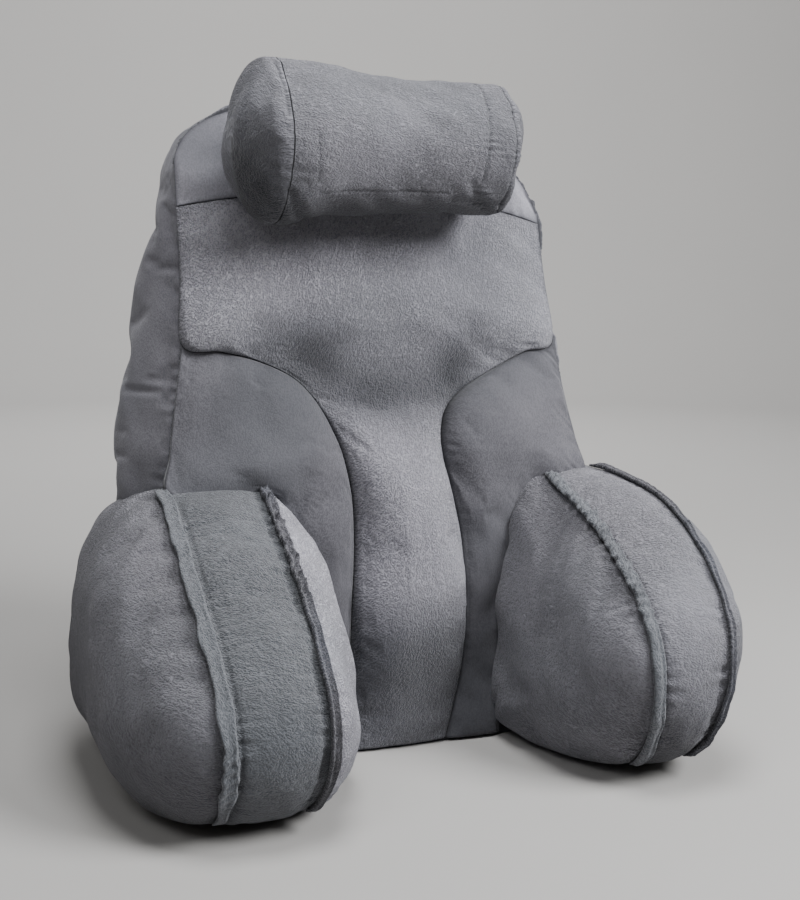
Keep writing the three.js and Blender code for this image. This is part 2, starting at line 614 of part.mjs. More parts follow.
// The roll lies against the headrest and the top of the front panel, which press it flat there
const bandLeft = -1 + ROLL_BANDS.left / ROLL.halfLength;
const bandRight = 1 - ROLL_BANDS.right / ROLL.halfLength;
const slit = GAP / ROLL.halfLength;
const rollPieces = {
  roll_cap_left: rollCap(-1),
  roll_band_left: rollSection(-1, bandLeft - slit),
  roll_body: rollSection(bandLeft, bandRight - slit),
  roll_band_right: rollSection(bandRight, 1),
  roll_cap_right: rollCap(1),
};
for (const [name, geometry] of Object.entries(rollPieces)) {
  add(name, pressed(geometry, [{ by: headrest, y: -GAP }, { by: front, y: -GAP }]), MATERIALS.plush);
}

cushion.position.y = -BASE_DEPTH / 2;
const group = new THREE.Group();
group.add(cushion);

export default group;
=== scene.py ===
import math
import bpy
import numpy as np
from mathutils import Matrix


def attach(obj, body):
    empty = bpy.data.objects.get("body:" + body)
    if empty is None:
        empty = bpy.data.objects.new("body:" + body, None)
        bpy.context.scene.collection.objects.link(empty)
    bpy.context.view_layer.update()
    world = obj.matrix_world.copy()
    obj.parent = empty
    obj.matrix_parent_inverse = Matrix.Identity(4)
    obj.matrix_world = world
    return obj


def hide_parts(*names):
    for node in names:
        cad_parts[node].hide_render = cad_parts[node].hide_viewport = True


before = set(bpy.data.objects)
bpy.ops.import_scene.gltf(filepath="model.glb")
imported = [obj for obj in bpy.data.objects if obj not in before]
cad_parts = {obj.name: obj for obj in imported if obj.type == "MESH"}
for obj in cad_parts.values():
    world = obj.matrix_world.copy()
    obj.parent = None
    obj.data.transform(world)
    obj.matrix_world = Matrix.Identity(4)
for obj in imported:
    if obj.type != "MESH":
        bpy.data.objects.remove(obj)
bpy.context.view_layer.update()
print("frame loaded")

# Shapes are worked out in millimetres from the line where the front seams meet the floor, and moved back by
# half the base when they become meshes
back = {
    "baseDepth": 200, "lean": 0.2, "gap": 0.4, "rim": 3, "topZ": 684, "middleZ": 300,
    "shoulders": {"left": (212, 600, 2.8), "right": (206, 545, 2)},  # x, z, power of the curve
    "sideSeam": [(0, 240, 0), (120, 240, 4), (235, 240, 28), (300, 236, 36), (355, 226, 40),
                 (427, 214, 42), (490, 210, 34), (545, 209, 20)],  # z, x, swell
    "swellShare": {"left": 1, "right": 0.5}, "shoulderSwell": 2, "shoulderEase": 90, "shoulderMiddleZ": 500,
    "taper": 14, "taperHeight": 100, "pinch": 2.4,
    "rearCrown": 14, "rearSize": 0.988, "rearReach": 0.4, "rearWidth": 260,
    "grid": (58, 1020), "rearGrid": (60, 420),  # rows, columns
    "step": 1.95, "rearStep": 4.7,  # from column to column
    "outlineSteps": 90,
    "inside": (0, 100, 300),
}
gap = back["gap"]
signs = {"left": -1, "right": 1}


# Catmull-Rom curve through a list, t counted in entries from 0; each entry may be a number or an array
def curveThrough(values, t):
    values = np.asarray(values, float)
    t = np.asarray(t, float)
    last = len(values) - 1
    i = np.clip(np.floor(t).astype(int), 0, last - 1)
    f = (t - i).reshape(t.shape + (1,) * (values.ndim - 1))
    padded = np.concatenate([[2 * values[0] - values[1]], values, [2 * values[-1] - values[-2]]])
    a, b, c, d = (padded[i + k] for k in range(4))
    return 0.5 * (2 * b + (c - a) * f + (2 * a - 5 * b + 4 * c - d) * f**2 + (3 * b - a - 3 * c + d) * f**3)


# from a to b by a share
def mix(a, b, f):
    return a + (b - a) * f


def unit(f):
    return np.clip(f, 0, 1)


def setAll(thing, values):
    for key, value in values.items():
        setattr(thing, key, value)
    return thing


# 0 to 1 with level ends
def ease(f):
    g = unit(f)
    return g * g * (3 - 2 * g)


# a quarter of an ellipse: 0 at the seam, 1 from the reach inwards
def rise(distance, reach):
    return np.sqrt(unit(1 - (1 - unit(distance / reach)) ** 2))


# a quarter of a sine: the same, with a gentler start
def slope(distance, reach):
    return np.sin(np.pi / 2 * unit(distance / reach))


# 1 in the middle, falling off over the width
def bell(x, width):
    return np.exp(-((x / width) ** 2))


# 1 on a seam, fading with the distance from it
def near(distance, width):
    return np.exp(-distance / width)


# angles of count places once round
def around(count):
    return np.arange(count) / count * 2 * np.pi


# how near each place lies to a straight line between two points: 1 on it, falling off over the width
def nearLine(a, b, first, second, width):
    run = np.subtract(second, first)
    share = unit(((a - first[0]) * run[0] + (b - first[1]) * run[1]) / np.dot(run, run))
    return bell(np.hypot(a - first[0] - share * run[0], b - first[1] - share * run[1]), width)


# painted shade at each place: soft patches of middle a, middle b, size along both, share
def paintedShade(patches, a, b):
    total = 0 * a * b
    for middleA, middleB, sizeA, sizeB, share in patches:
        total = total + share * bell(np.hypot((a - middleA) / sizeA, (b - middleB) / sizeB), 1)
    return total


# the plane of the front seams leans back evenly from the floor up
def seamPlane(z):
    return back["lean"] * z


# uneven waves along a line: a few sines about one pitch, with seeded phases
def ripple(seed, s, pitch, parts=5):
    rng = np.random.default_rng(seed)
    total = 0
    for _ in range(parts):
        total = total + np.sin(2 * np.pi * s / (pitch * rng.uniform(0.65, 1.6)) + rng.uniform(0, 2 * np.pi))
    return total / math.sqrt(parts / 2)


# uneven ground: sines in seeded directions over two coordinates, all about one size
def uneven(seed, a, b, size, parts=12):
    rng = np.random.default_rng(seed)
    total = 0
    for _ in range(parts):
        turn = rng.uniform(0, 2 * np.pi)
        wave = 2 * np.pi / (size * rng.uniform(0.7, 1.5))
        total = total + np.sin(wave * (a * math.cos(turn) + b * math.sin(turn)) + rng.uniform(0, 2 * np.pi))
    return total / math.sqrt(parts / 2)


# short gathers that stand square to a seam: waves along it, stronger in places, that die away with the distance
def gathers(seed, along, away, pitch=13, reach=16):
    strength = 0.5 + 0.5 * np.clip(ripple(seed + 50, along, pitch * 7, 3), -1, 1.4)
    return ripple(seed, along, pitch) * strength * near(away, reach)


# normals of a grid that wraps round, from the cross product of its two directions
def gridNormals(points):
    down = np.gradient(points, axis=0)
    across = (np.roll(points, -1, axis=1) - np.roll(points, 1, axis=1)) / 2
    normal = np.cross(across, down)
    return normal / np.maximum(np.linalg.norm(normal, axis=2, keepdims=True), 1e-9)


# the grid moved along its normals, which point away from a place inside
def raised(points, height, inside):
    normal = gridNormals(points)
    row, column = points.shape[0] // 2, points.shape[1] // 2
    facing = np.sign(np.dot(normal[row, column], points[row, column] - inside))
    return points + normal * (height * facing)[..., None]


def stepsOf(line):
    return np.linalg.norm(np.diff(line[:, :3], axis=0), axis=1)


def lengthAlong(line):
    return np.concatenate([[0], np.cumsum(stepsOf(line))])


# count places at equal steps along a line of points, both ends among them
def evenly(points, count):
    length = lengthAlong(points)
    wanted = np.linspace(0, length[-1], count)
    return np.stack([np.interp(wanted, length, column) for column in points.T], 1)


# four corners for each cell of a grid of rows and columns
def gridFaces(rows, columns, wrap=True):
    i = np.arange(rows - 1)[:, None] * columns
    j = np.arange(columns if wrap else columns - 1)[None, :]
    k = (j + 1) % columns
    return np.stack([i + j, i + k, i + columns + k, i + columns + j], -1).reshape(-1, 4)


def keepAboveFloor(points):
    points[..., 2] = np.maximum(points[..., 2], 0)


# from the seams' millimetres to the part's metres
def metres(points):
    return (points + [0, -back["baseDepth"] / 2, 0]) / 1000


def newMesh(name, places, faces):
    mesh = bpy.data.meshes.new(name)
    mesh.from_pydata(places.reshape(-1, 3).tolist(), [], faces)
    mesh.polygons.foreach_set("use_smooth", np.ones(len(mesh.polygons), bool))
    return mesh


def placed(name, data):
    thing = bpy.data.objects.new(name, data)
    bpy.context.scene.collection.objects.link(thing)
    return thing


def placesOf(mesh):
    places = np.zeros(len(mesh.vertices) * 3, np.float32)
    mesh.vertices.foreach_get("co", places)
    return places.reshape(-1, 3)


# a closed mesh whose signed volume is negative is turned
def facesOutwards(mesh):
    mesh.update()
    mesh.calc_loop_triangles()
    corners = np.zeros(len(mesh.loop_triangles) * 3, np.int32)
    mesh.loop_triangles.foreach_get("vertices", corners)
    a, b, c = placesOf(mesh).astype(float)[corners.reshape(-1, 3)].transpose(1, 0, 2)
    if np.sum(a * np.cross(b, c)) < 0:
        mesh.flip_normals()


# Puts points (rows by columns) and their faces into a mesh. A grid with two poles wraps round and is closed by
# a fan to each. One without is closed by its border, carried back to the seams' plane, and one flat face there.
def meshFrom(name, points, poles=None, nap=None, shade=0.0):
    rows, columns = points.shape[:2]
    places = points.reshape(-1, 3)
    faces = gridFaces(rows, columns, poles is not None).tolist()
    napAt = nap.reshape(-1, 2) if nap is not None else places[:, [0, 2]]
    shadeAt = (shade * np.ones((rows, columns))).reshape(-1)
    start = len(places)
    if poles is not None:
        places = np.vstack([places, poles])
        napAt = np.vstack([napAt, napAt[:columns].mean(0), napAt[-columns:].mean(0)])
        shadeAt = np.append(shadeAt, [shadeAt[:columns].mean(), shadeAt[-columns:].mean()])
        ring = np.arange(columns)
        after = np.roll(ring, -1)
        last = (rows - 1) * columns
        faces += np.stack([np.full(columns, start), after, ring], -1).tolist()
        faces += np.stack([np.full(columns, start + 1), last + ring, last + after], -1).tolist()
    else:
        grid = np.arange(rows * columns).reshape(rows, columns)
        border = np.concatenate([grid[0, :-1], grid[:-1, -1], grid[-1, :0:-1], grid[:0:-1, 0]])
        behind = places[border].copy()
        behind[:, 1] = seamPlane(behind[:, 2]) - gap
        ring = start + np.arange(len(border))
        places = np.vstack([places, behind])
        napAt = np.vstack([napAt, napAt[border]])
        shadeAt = np.append(shadeAt, np.ones(len(border)))
        faces += np.stack([border, ring, np.roll(ring, -1), np.roll(border, -1)], -1).tolist()
        faces.append(ring[::-1].tolist())
    mesh = newMesh(name, metres(places), faces)
    mesh.polygons[-1].use_smooth = poles is not None
    corner = np.zeros(len(mesh.loops), np.int32)
    mesh.loops.foreach_get("vertex_index", corner)
    layer = mesh.uv_layers.new(name="nap")
    layer.data.foreach_set("uv", (napAt[corner] / 1000).astype(np.float32).ravel())
    attribute = mesh.attributes.new("seamShade", "FLOAT", "POINT")
    attribute.data.foreach_set("value", shadeAt.astype(np.float32))
    facesOutwards(mesh)
    return placed(name, mesh)


cloth = {
    "thin": 3, "frames": 20,  # every third place is simulated, for so many frames
    "settings": {"quality": 4, "use_pressure": True, "uniform_pressure_force": 4, "vertex_group_mass": "held"},
}


# A filled piece settles: a thinned copy of its grid, closed, runs as cloth that is let out a little and held
# at its seams. How far each place moved, capped, is spread over the full grid by curves both ways.
def settled(points, free, poles=None, poleFree=False, letOut=0.011, cap=3):
    rows, columns = points.shape[:2]
    rowsAt = np.unique(np.append(np.arange(0, rows, cloth["thin"]), rows - 1))
    columnsAt = np.arange(0, columns, cloth["thin"])
    if poles is None:
        columnsAt = np.unique(np.append(columnsAt, columns - 1))
    coarse = points[np.ix_(rowsAt, columnsAt)]
    freeAt = (free * np.ones((rows, columns)))[np.ix_(rowsAt, columnsAt)]
    sheet = meshFrom("clothRun", coarse, poles)
    start = placesOf(sheet.data)
    held = np.ones(len(start), bool)
    held[:freeAt.size] = freeAt.reshape(-1) < 0.02
    held[-1] = not poleFree
    sheet.vertex_groups.new(name="held").add(np.flatnonzero(held).tolist(), 1, "REPLACE")
    run = sheet.modifiers.new("cloth", "CLOTH")
    setAll(run.settings, {**cloth["settings"], "shrink_min": -letOut})
    run.settings.effector_weights.gravity = 0
    setAll(run.point_cache, {"frame_start": 1, "frame_end": cloth["frames"]})
    for number in range(1, cloth["frames"] + 1):
        bpy.context.scene.frame_set(number)
    end = placesOf(sheet.evaluated_get(bpy.context.evaluated_depsgraph_get()).data)
    bpy.data.objects.remove(sheet)
    bpy.context.scene.frame_set(1)
    moved = (end - start)[:freeAt.size].astype(float) * 1000
    length = np.linalg.norm(moved, axis=1, keepdims=True)
    moved *= np.minimum(1, cap / np.maximum(length, 1e-6))
    moved = moved.reshape(*coarse.shape) * np.minimum(freeAt * 3, 1)[..., None]
    print("cloth moved", round(float(length.mean()), 2), "mm, most", round(float(length.max()), 2))
    moved = curveThrough(moved, np.interp(np.arange(rows), rowsAt, np.arange(len(rowsAt))))
    if poles is None:
        across = np.interp(np.arange(columns), columnsAt, np.arange(len(columnsAt)))
    else:
        moved = np.concatenate([moved[:, -1:], moved, moved[:, :2]], 1)
        across = np.arange(columns) / cloth["thin"] + 1
    return points + curveThrough(moved.transpose(1, 0, 2), across).transpose(1, 0, 2)


# a finished piece gets its material, rides on the part, and stands for its nodes
def fit(piece, nodes, material):
    piece.data.materials.append(material)
    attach(piece, "root")
    if nodes:
        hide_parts(*nodes)
    print("made", piece.name, len(piece.data.polygons), "faces")


photo = {"place": (-0.507, -1.389, 0.520), "yaw": 21.3, "pitch": 8.22, "roll": 0.43, "focalPixels": 1350,
         "height": 900, "sensor": 36}


# the camera's axes from its yaw and pitch, turned by its roll
def placeCamera():
    yaw, pitch, turn = (math.radians(photo[key]) for key in ("yaw", "pitch", "roll"))
    forward = np.array([math.cos(pitch) * math.sin(yaw), math.cos(pitch) * math.cos(yaw), -math.sin(pitch)])
    level = np.array([math.cos(yaw), -math.sin(yaw), 0])
    upright = np.cross(level, forward)
    right = math.cos(turn) * level + math.sin(turn) * upright
    up = math.cos(turn) * upright - math.sin(turn) * level
    lens = {"sensor_fit": "AUTO", "sensor_width": photo["sensor"],
            "lens": photo["sensor"] * photo["focalPixels"] / photo["height"]}
    camera = placed("camera", setAll(bpy.data.cameras.new("camera"), lens))
    turned = Matrix(np.stack([right, up, -forward], 1).tolist())
    camera.matrix_world = Matrix.Translation(photo["place"]) @ turned.to_4x4()
    bpy.context.scene.camera = camera


studio = {
    "floor": (0.4, 0.393, 0.385), "world": (0.82, 0.83, 0.86), "worldStrength": 0.04,
    "lights": [  # name, place, target, size, power
        ("keyLight", (1.25, -1.55, 1.65), (0, -0.05, 0.35), 1.1, 92),
        ("topLight", (-0.1, -0.6, 2.4), (0, -0.05, 0.3), 1.0, 44),
        ("sideLight", (-1.3, -1.3, 1.9), (0, 0, 0.4), 0.9, 12),
        ("wallLight", (0.6, 1.8, 2.9), (1.0, 4.6, 0.6), 1.6, 150),
    ],
    "sweep": (3.4, 1.6, 6.0), "floorSides": 96,  # where the floor's bend starts, its radius, the wall's top
}


# a light's axes: its back points away from the target
def aimedAt(place, target):
    away = np.subtract(place, target)
    away = away / np.linalg.norm(away)
    across = np.cross([0, 0, 1], away)
    across /= np.linalg.norm(across)
    turned = Matrix(np.stack([across, np.cross(away, across), away], 1).tolist())
    return Matrix.Translation(place) @ turned.to_4x4()


# a dim world and round area lights
def lightStudio():
    world = bpy.data.worlds.new("studio")
    world.use_nodes = True
    backdrop = world.node_tree.nodes["Background"]
    backdrop.inputs[0].default_value = (*studio["world"], 1)
    backdrop.inputs[1].default_value = studio["worldStrength"]
    bpy.context.scene.world = world
    for name, place, target, size, power in studio["lights"]:
        data = bpy.data.lights.new(name, "AREA")
        light = placed(name, setAll(data, {"shape": "DISK", "size": size, "energy": power}))
        light.matrix_world = aimedAt(place, target)


placeCamera()
lightStudio()
print("camera and lights placed")


# one output of a node; arithmetic on it adds Math nodes
class Signal:
    def __init__(self, graph, socket):
        self.graph = graph
        self.socket = socket

    def __add__(self, other):
        return self.graph.maths("ADD", self, other)

    def __sub__(self, other):
        return self.graph.maths("SUBTRACT", self, other)

    def __mul__(self, other):
        return self.graph.maths("MULTIPLY", self, other)

    def __rsub__(self, other):
        return self.graph.maths("SUBTRACT", other, self)


# a material's nodes
class Graph:
    def __init__(self, name):
        self.material = bpy.data.materials.new(name)
        self.material.use_nodes = True
        self.tree = self.material.node_tree
        self.shader = self.tree.nodes["Principled BSDF"]

    # a node of a type: its settings first, then a value or a link for each socket
    def add(self, kind, settings, values, output=0):
        node = setAll(self.tree.nodes.new(kind), settings)
        for key, value in values.items():
            self.feed(node.inputs[key], value)
        return Signal(self, node.outputs[output])

    def feed(self, socket, value):
        if isinstance(value, Signal):
            self.tree.links.new(value.socket, socket)
        else:
            socket.default_value = value

    def maths(self, operation, first, second):
        return self.add("ShaderNodeMath", {"operation": operation}, {0: first, 1: second})

    def blend(self, share, first, second):
        return self.add("ShaderNodeMix", {"data_type": "RGBA"}, {0: share, 6: first, 7: second}, 2)

    def surface(self, values):
        for key, value in values.items():
            self.feed(self.shader.inputs[key], value)
        return self.material

    # 0 below low, 1 above high, level at both ends
    def between(self, value, low, high):
        settings = {"interpolation_type": "SMOOTHSTEP"}
        return self.add("ShaderNodeMapRange", settings, {"Value": value, "From Min": low, "From Max": high})

    def noise(self, vector, scale, detail=2, roughness=0.5, output=0):
        values = {"Vector": vector, "Scale": scale, "Detail": detail, "Roughness": roughness}
        return self.add("ShaderNodeTexNoise", {"noise_dimensions": "3D"}, values, output)

    # noise whose middle range runs from 0 to 1
    def cloud(self, vector, scale, low, high, detail=1, roughness=0.5):
        return self.between(self.noise(vector, scale, detail, roughness), low, high)

    def place(self):
        return self.add("ShaderNodeTexCoord", {}, {}, 3)


# Short pile. Its grain is noise at two sizes, drawn out along the lie of the nap, which wanders. Broad patches
# where the nap lies the other way are a little lighter or darker, and the grain shows more in some places.
def pile(name, look, tone):
    g = Graph(name)
    shades = [(*(value * tone for value in look[key]), 1) for key in ("dark", "light", "cool", "deep")]
    dark, light, cool, deep = shades
    nap = g.add("ShaderNodeUVMap", {"uv_map": "nap"}, {})
    place = g.place()
    wander = g.add("ShaderNodeVectorMath", {"operation": "SCALE"},
                   {0: g.noise(nap, 17, 1, 0.5, 1), "Scale": look["wander"]})
    bent = g.add("ShaderNodeVectorMath", {"operation": "ADD"}, {0: nap, 1: wander})
    lying = g.add("ShaderNodeMapping", {"vector_type": "TEXTURE"},
                  {"Vector": bent, "Rotation": (0, 0, math.radians(look["turn"])), "Scale": (look["length"], 1, 1)})
    fine = g.noise(lying, look["grain"], 2, 0.6)
    tuft = g.noise(lying, look["grain"] * 0.4, 1, 0.5)
    grain = g.between(fine * 0.72 + tuft * 0.28, 0.36, 0.64)
    shows = g.cloud(place, 8, 0.36, 0.62) * (1 - look["evenGrain"]) + look["evenGrain"]
    patch = g.cloud(place, look["patch"], 0.3, 0.7, 3, 0.55)
    broad = g.cloud(place, 3.1, 0.3, 0.7)
    # painted shade: darker towards the floor, by the object's height
    low = 1 - g.between(g.add("ShaderNodeSeparateXYZ", {}, {0: place}, 2), 0.0, look["lowTo"])
    share = (0.5 - low * look["lowShade"] + (patch - 0.5) * look["patchShare"] + (broad - 0.5) * 0.25
             + (grain - 0.5) * shows * look["speckle"])
    colour = g.blend(g.cloud(place, 5.1, 0.4, 0.66) * look["coolShare"], g.blend(share, dark, light), cool)
    # painted shade: the seamShade attribute darkens seams, creases, hollows and undersides towards the deep colour
    seam = g.add("ShaderNodeAttribute", {"attribute_name": "seamShade"}, {}, 2)
    relief = {"Strength": look["bump"], "Distance": 0.0013, "Height": grain * shows + tuft * 0.4}
    return g.surface({
        "Base Color": g.blend(seam * look["seamShade"], colour, deep), "Roughness": 0.98 - grain * 0.14,
        "Normal": g.add("ShaderNodeBump", {}, relief), "Specular IOR Level": 0.15,
        "Sheen Weight": look["sheen"], "Sheen Roughness": 0.5, "Sheen Tint": (0.9, 0.91, 0.96, 1),
    })


plushLook = {"dark": (0.116, 0.114, 0.133), "light": (0.258, 0.254, 0.286), "cool": (0.156, 0.165, 0.187),
             "deep": (0.03, 0.031, 0.037), "coolShare": 0.35, "seamShade": 0.85, "speckle": 0.85, "grain": 760,
             "length": 1.6, "turn": 62, "wander": 0.012, "bump": 1.5, "sheen": 0.3, "evenGrain": 0.6, "patch": 12,
             "patchShare": 0.3, "lowTo": 0.2, "lowShade": 0.45}
coolLook = {**plushLook, "dark": (0.104, 0.112, 0.128), "light": (0.232, 0.246, 0.272),
            "cool": (0.14, 0.152, 0.17), "turn": 20}
cheekLook = {**plushLook, "length": 1.7, "turn": 8, "speckle": 1.1}
smoothLook = {**plushLook, "speckle": 0.45, "bump": 0.3, "coolShare": 0.5}
foldLook = {"grain": 820, "turn": 85}
looks = {  # with a tone each: lighter and deeper copies of one pile, painted light and shade for pieces that face the light or lie in shade, and in part the nap's own lie
    "front": (plushLook, 1.5), "headrest": (smoothLook, 1.3), "wing": (smoothLook, 0.52), "side": (smoothLook, 0.74),
    "roll": ({**plushLook, "coolShare": 0.55, "length": 1.7, "turn": 10}, 1.0),
    "inner_left": (cheekLook, 2.0), "inner_right": (cheekLook, 0.9), "outer": (cheekLook, 0.86),
    "strip_left": (coolLook, 0.7), "strip_right": ({**plushLook, "turn": 20}, 1.06),
    "fold": ({**coolLook, **foldLook, "speckle": 1.1, "bump": 1.0}, 0.72),
    "dark_fold": ({**plushLook, **foldLook, "cool": (0.15, 0.16, 0.2), "coolShare": 0.8}, 0.6),
}
materials = {key: pile("plush" + key.title().replace("_", ""), look, tone) for key, (look, tone) in looks.items()}


# twisted thread: fine bands of light and dark
def threadMaterial():
    g = Graph("thread")
    twist = g.cloud(g.place(), 900, 0.35, 0.65)
    return g.surface({"Base Color": g.blend(twist, (0.05, 0.054, 0.062, 1), (0.15, 0.157, 0.175, 1)),
                      "Roughness": 0.75 - twist * 0.1})


materials["thread"] = threadMaterial()
print("materials made")


# one side of the back from the floor over the shoulder to the middle of the top: x, z, swell
def sideOutline(side):
    seam = np.array(back["sideSeam"], float)
    shoulderX, shoulderZ, power = back["shoulders"][side]
    t = np.linspace(0, len(seam) - 1, back["outlineSteps"])
    swell = curveThrough(seam[:, 2], t) * back["swellShare"][side]
    low = np.stack([curveThrough(seam[:, 1], t), curveThrough(seam[:, 0], t), swell], 1)
    angle = np.linspace(0, np.pi / 2, back["outlineSteps"])[1:]
    z = shoulderZ + (back["topZ"] - shoulderZ) * np.sin(angle) ** (2 / power)
    swell = mix(low[-1, 2], back["shoulderSwell"], ease((z - seam[-1, 0]) / back["shoulderEase"]))
    fromSeam = (low[-1, 0] - shoulderX) * (1 - ease((z - seam[-1, 0]) / 50))
    high = np.stack([shoulderX * np.abs(np.cos(angle)) ** (2 / power) + fromSeam, z, swell], 1)
    return np.vstack([low, high]) * [signs[side], 1, 1]


# once round the back, at equal steps: up the left side, over the top, down the right and along the floor
def backOutline(count):
    footX = back["sideSeam"][0][1]
    floor = np.linspace(footX, -footX, 12)[1:, None] * [1, 0, 0]
    return evenly(np.vstack([sideOutline("left"), sideOutline("right")[-2::-1], floor]), count + 1)[:-1]


# the outline at shares of the depth: it swells between the front and the rear seam, tapers at the shoulders,
# and is pinched where it meets each seam
def backRings(outline, depth, pinch=0):
    x, z, swell = outline.T
    d = depth[:, None]
    away = np.stack([x, np.maximum(z - back["shoulderMiddleZ"], 0)], 1)
    away /= np.linalg.norm(away, axis=1, keepdims=True)
    taper = back["taper"] * d * ease((z - back["shoulderMiddleZ"]) / back["taperHeight"])
    toSeam = np.minimum(d, 1 - d) * back["baseDepth"]
    out = swell * np.sin(np.pi * d**1.3) - taper - pinch * near(toSeam, 3)
    px = x + out * away[:, 0]
    pz = z + out * away[:, 1]
    return np.stack([px, mix(seamPlane(pz), back["baseDepth"], d), pz], 2)


# The filled back: rings of the outline from the front seam to the rear one, raised by gathers and broad unevenness,
# and closed by a fan to a pole in the middle of each face
def makeBack():
    rows, columns = back["grid"]
    outline = backOutline(columns)
    depth = (0.5 - 0.5 * np.cos(np.linspace(0, np.pi, rows)))[:, None]
    rings = backRings(outline, depth[:, 0], back["pinch"])
    length = np.arange(columns) * back["step"]
    toFront = depth * back["baseDepth"]
    toRear = (1 - depth) * back["baseDepth"]
    height = (0.5 * gathers(10, length, toFront, 6, 4) + 1.1 * gathers(11, length, toFront, 15, 12)
              + 0.9 * gathers(12, length, toRear, 19, 18) + 1.6 * uneven(13, length, toFront, 130, 8)
              + 0.5 * uneven(14, length, toFront, 45))
    rings = raised(rings, height * ease(outline[:, 1] / 60), back["inside"])
    keepAboveFloor(rings)
    poles = [(0, seamPlane(back["middleZ"]), back["middleZ"]), (0, back["baseDepth"], back["middleZ"])]
    free = unit(np.minimum(toFront, toRear) / 20) * ease((outline[:, 1] - 20) / 80)
    rings = settled(rings, free, poles, letOut=0.015)
    rings[..., 1] = np.clip(rings[..., 1], seamPlane(rings[..., 2]), back["baseDepth"])
    nap = np.stack(np.broadcast_arrays(toFront, length), 2)
    piece = meshFrom("backSide", rings, poles, nap, np.maximum(near(toFront, 2), near(toRear, 2.5)))
    fit(piece, ["back_body"], materials["side"])
    return rings, depth


# the rear panel: its border drawn in towards the middle while it rises by a quarter of an ellipse
def makeRear():
    rows, columns = back["rearGrid"]
    border = backRings(backOutline(columns), np.array([1.0]))[0]
    middle = np.array([0, 0, back["middleZ"]])
    size = np.concatenate([[1], 1 - np.linspace(0, 0.985, rows) ** 1.8])[:, None]
    flatY = back["baseDepth"] + gap
    crown = back["rearCrown"] * rise(1 - size, back["rearReach"]) + back["rim"]
    crown[0] = 0
    scaled = back["rearSize"] * size[..., None]
    rings = border * scaled + middle * (1 - scaled)
    length = np.arange(columns) * back["rearStep"]
    away = (1 - size) * back["rearWidth"]
    height = 1.3 * gathers(21, length, away, 19, 26) + 1.8 * uneven(22, rings[..., 0], rings[..., 2], 150, 8)
    rings[..., 1] = flatY + crown + height * unit(away / 4)
    poles = [(0, flatY, back["middleZ"]), rings[-1].mean(0)]
    rings = settled(rings, unit((away - 2) / 30), poles, poleFree=True, letOut=0.012)
    poles[1] = rings[-1].mean(0)
    piece = meshFrom("rearPanel", rings, poles, shade=near(away, 3))
    fit(piece, ["rear_panel"], materials["side"])


# rows from the floor up: left x, left z, right x, right z, middle z, crown, reach of the crown
frontRows = np.array([
    (56, 4, 50, 4, 4, 3, 34), (56, 42, 61, 38, 40, 16, 42), (54, 92, 74, 85, 88, 34, 50),
    (48, 152, 81, 146, 148, 45, 54), (42, 212, 81, 212, 210, 49, 54), (41, 262, 74, 262, 258, 47, 52),
    (48, 306, 66, 304, 300, 38, 54), (59, 338, 67, 332, 332, 25, 60), (76, 369, 77, 356, 362, 9, 74),
    (98, 392, 100, 376, 392, 4, 90), (134, 409, 137, 396, 425, 12, 100), (172, 419, 175, 413, 457, 28, 90),
    (213, 427, 212, 424, 490, 37, 75), (211, 498, 208, 494, 537, 34, 70), (211, 567, 204, 556, 588, 22, 60),
], float)
lastRow = len(frontRows) - 1
panels = {
    "frontGrid": (210, 142), "headrestGrid": (44, 150), "wingGrid": (190, 80),  # rows, columns
    "edgeColumns": {"left": (0, 1), "right": (2, 3)}, "footLift": 6, "footReach": 40, "yokeLength": 120,
    "yokeReach": 34, "yokeMiddleZ": 588, "headrestCrown": 12, "wingRows": 12, "wingTuck": 4,
    "innerReach": 34, "besideArm": 62, "aboveArm": 130, "wingLength": 150, "topReach": 40,
    "neckDips": [(-80, 408, 34, 6), (84, 398, 30, 5.5)],  # x, z, size, depth
    # painted shade on the T-shaped panel and the side panels, in the hollows by the neck, under the roll and near the
    # floor: x, z, size along both, share
    "paintedShadePatches": [(-80, 412, 48, 38, 0.95), (86, 396, 34, 44, 1.05), (0, 374, 64, 32, 1.05), (0, 108, 220, 62, 1.0),
                    (0, 20, 220, 60, 0.7), (150, 512, 70, 60, 0.22), (-60, 530, 150, 50, 0.1)],
    "sidePaintedShade": {"left": [(-60, 90, 60, 90, 0.3)], "right": [(84, 110, 60, 120, 0.5)]},
    # share of its crown that each row of a side panel keeps where the arm presses against it
    "wingHold": [0.5, 0.5, 0.5, 0.5, 0.5, 0.52, 0.55, 0.4, 0.12, 0, 0, 0, 0],
}
# outer edge of each side panel: x (None beside the arm), z, crown
wingEdges = {
    "left": [(None, 4, 8), (None, 60, 10), (None, 122, 14), (None, 190, 20), (None, 248, 27), (None, 272, 31),
             (156, 276, 33), (235, 277, 32), (232, 316, 30), (225, 358, 25), (220, 388, 19), (216, 408, 12),
             (214, 419, 4)],
    "right": [(None, 4, 8), (None, 60, 10), (None, 118, 11), (None, 186, 14), (None, 240, 18), (None, 270, 23),
              (196, 277, 28), (236, 278, 29), (232, 315, 28), (225, 354, 24), (220, 382, 18), (216, 404, 11),
              (214, 416, 4)],
}


# closer columns towards the sides, where the crown is steep
def spread(u):
    return np.sin((u - 0.5) * np.pi)


# a panel's skin: out from the seams' plane by the rim, the crown and the relief
def onFront(x, z, crown, height):
    return np.stack([x, seamPlane(z) - gap - back["rim"] - crown - height, z], 2)


# a place on the seam between the T-shaped panel and a side panel, moved across the seam by a distance
def frontEdge(side, t, distance):
    xs, zs = (frontRows[:, k] for k in panels["edgeColumns"][side])
    step = 0.05
    dx = curveThrough(xs, t + step) - curveThrough(xs, t - step)
    dz = curveThrough(zs, t + step) - curveThrough(zs, t - step)
    length = np.hypot(dx, dz)
    return curveThrough(xs, t) + dz / length * distance, curveThrough(zs, t) - dx / length * distance


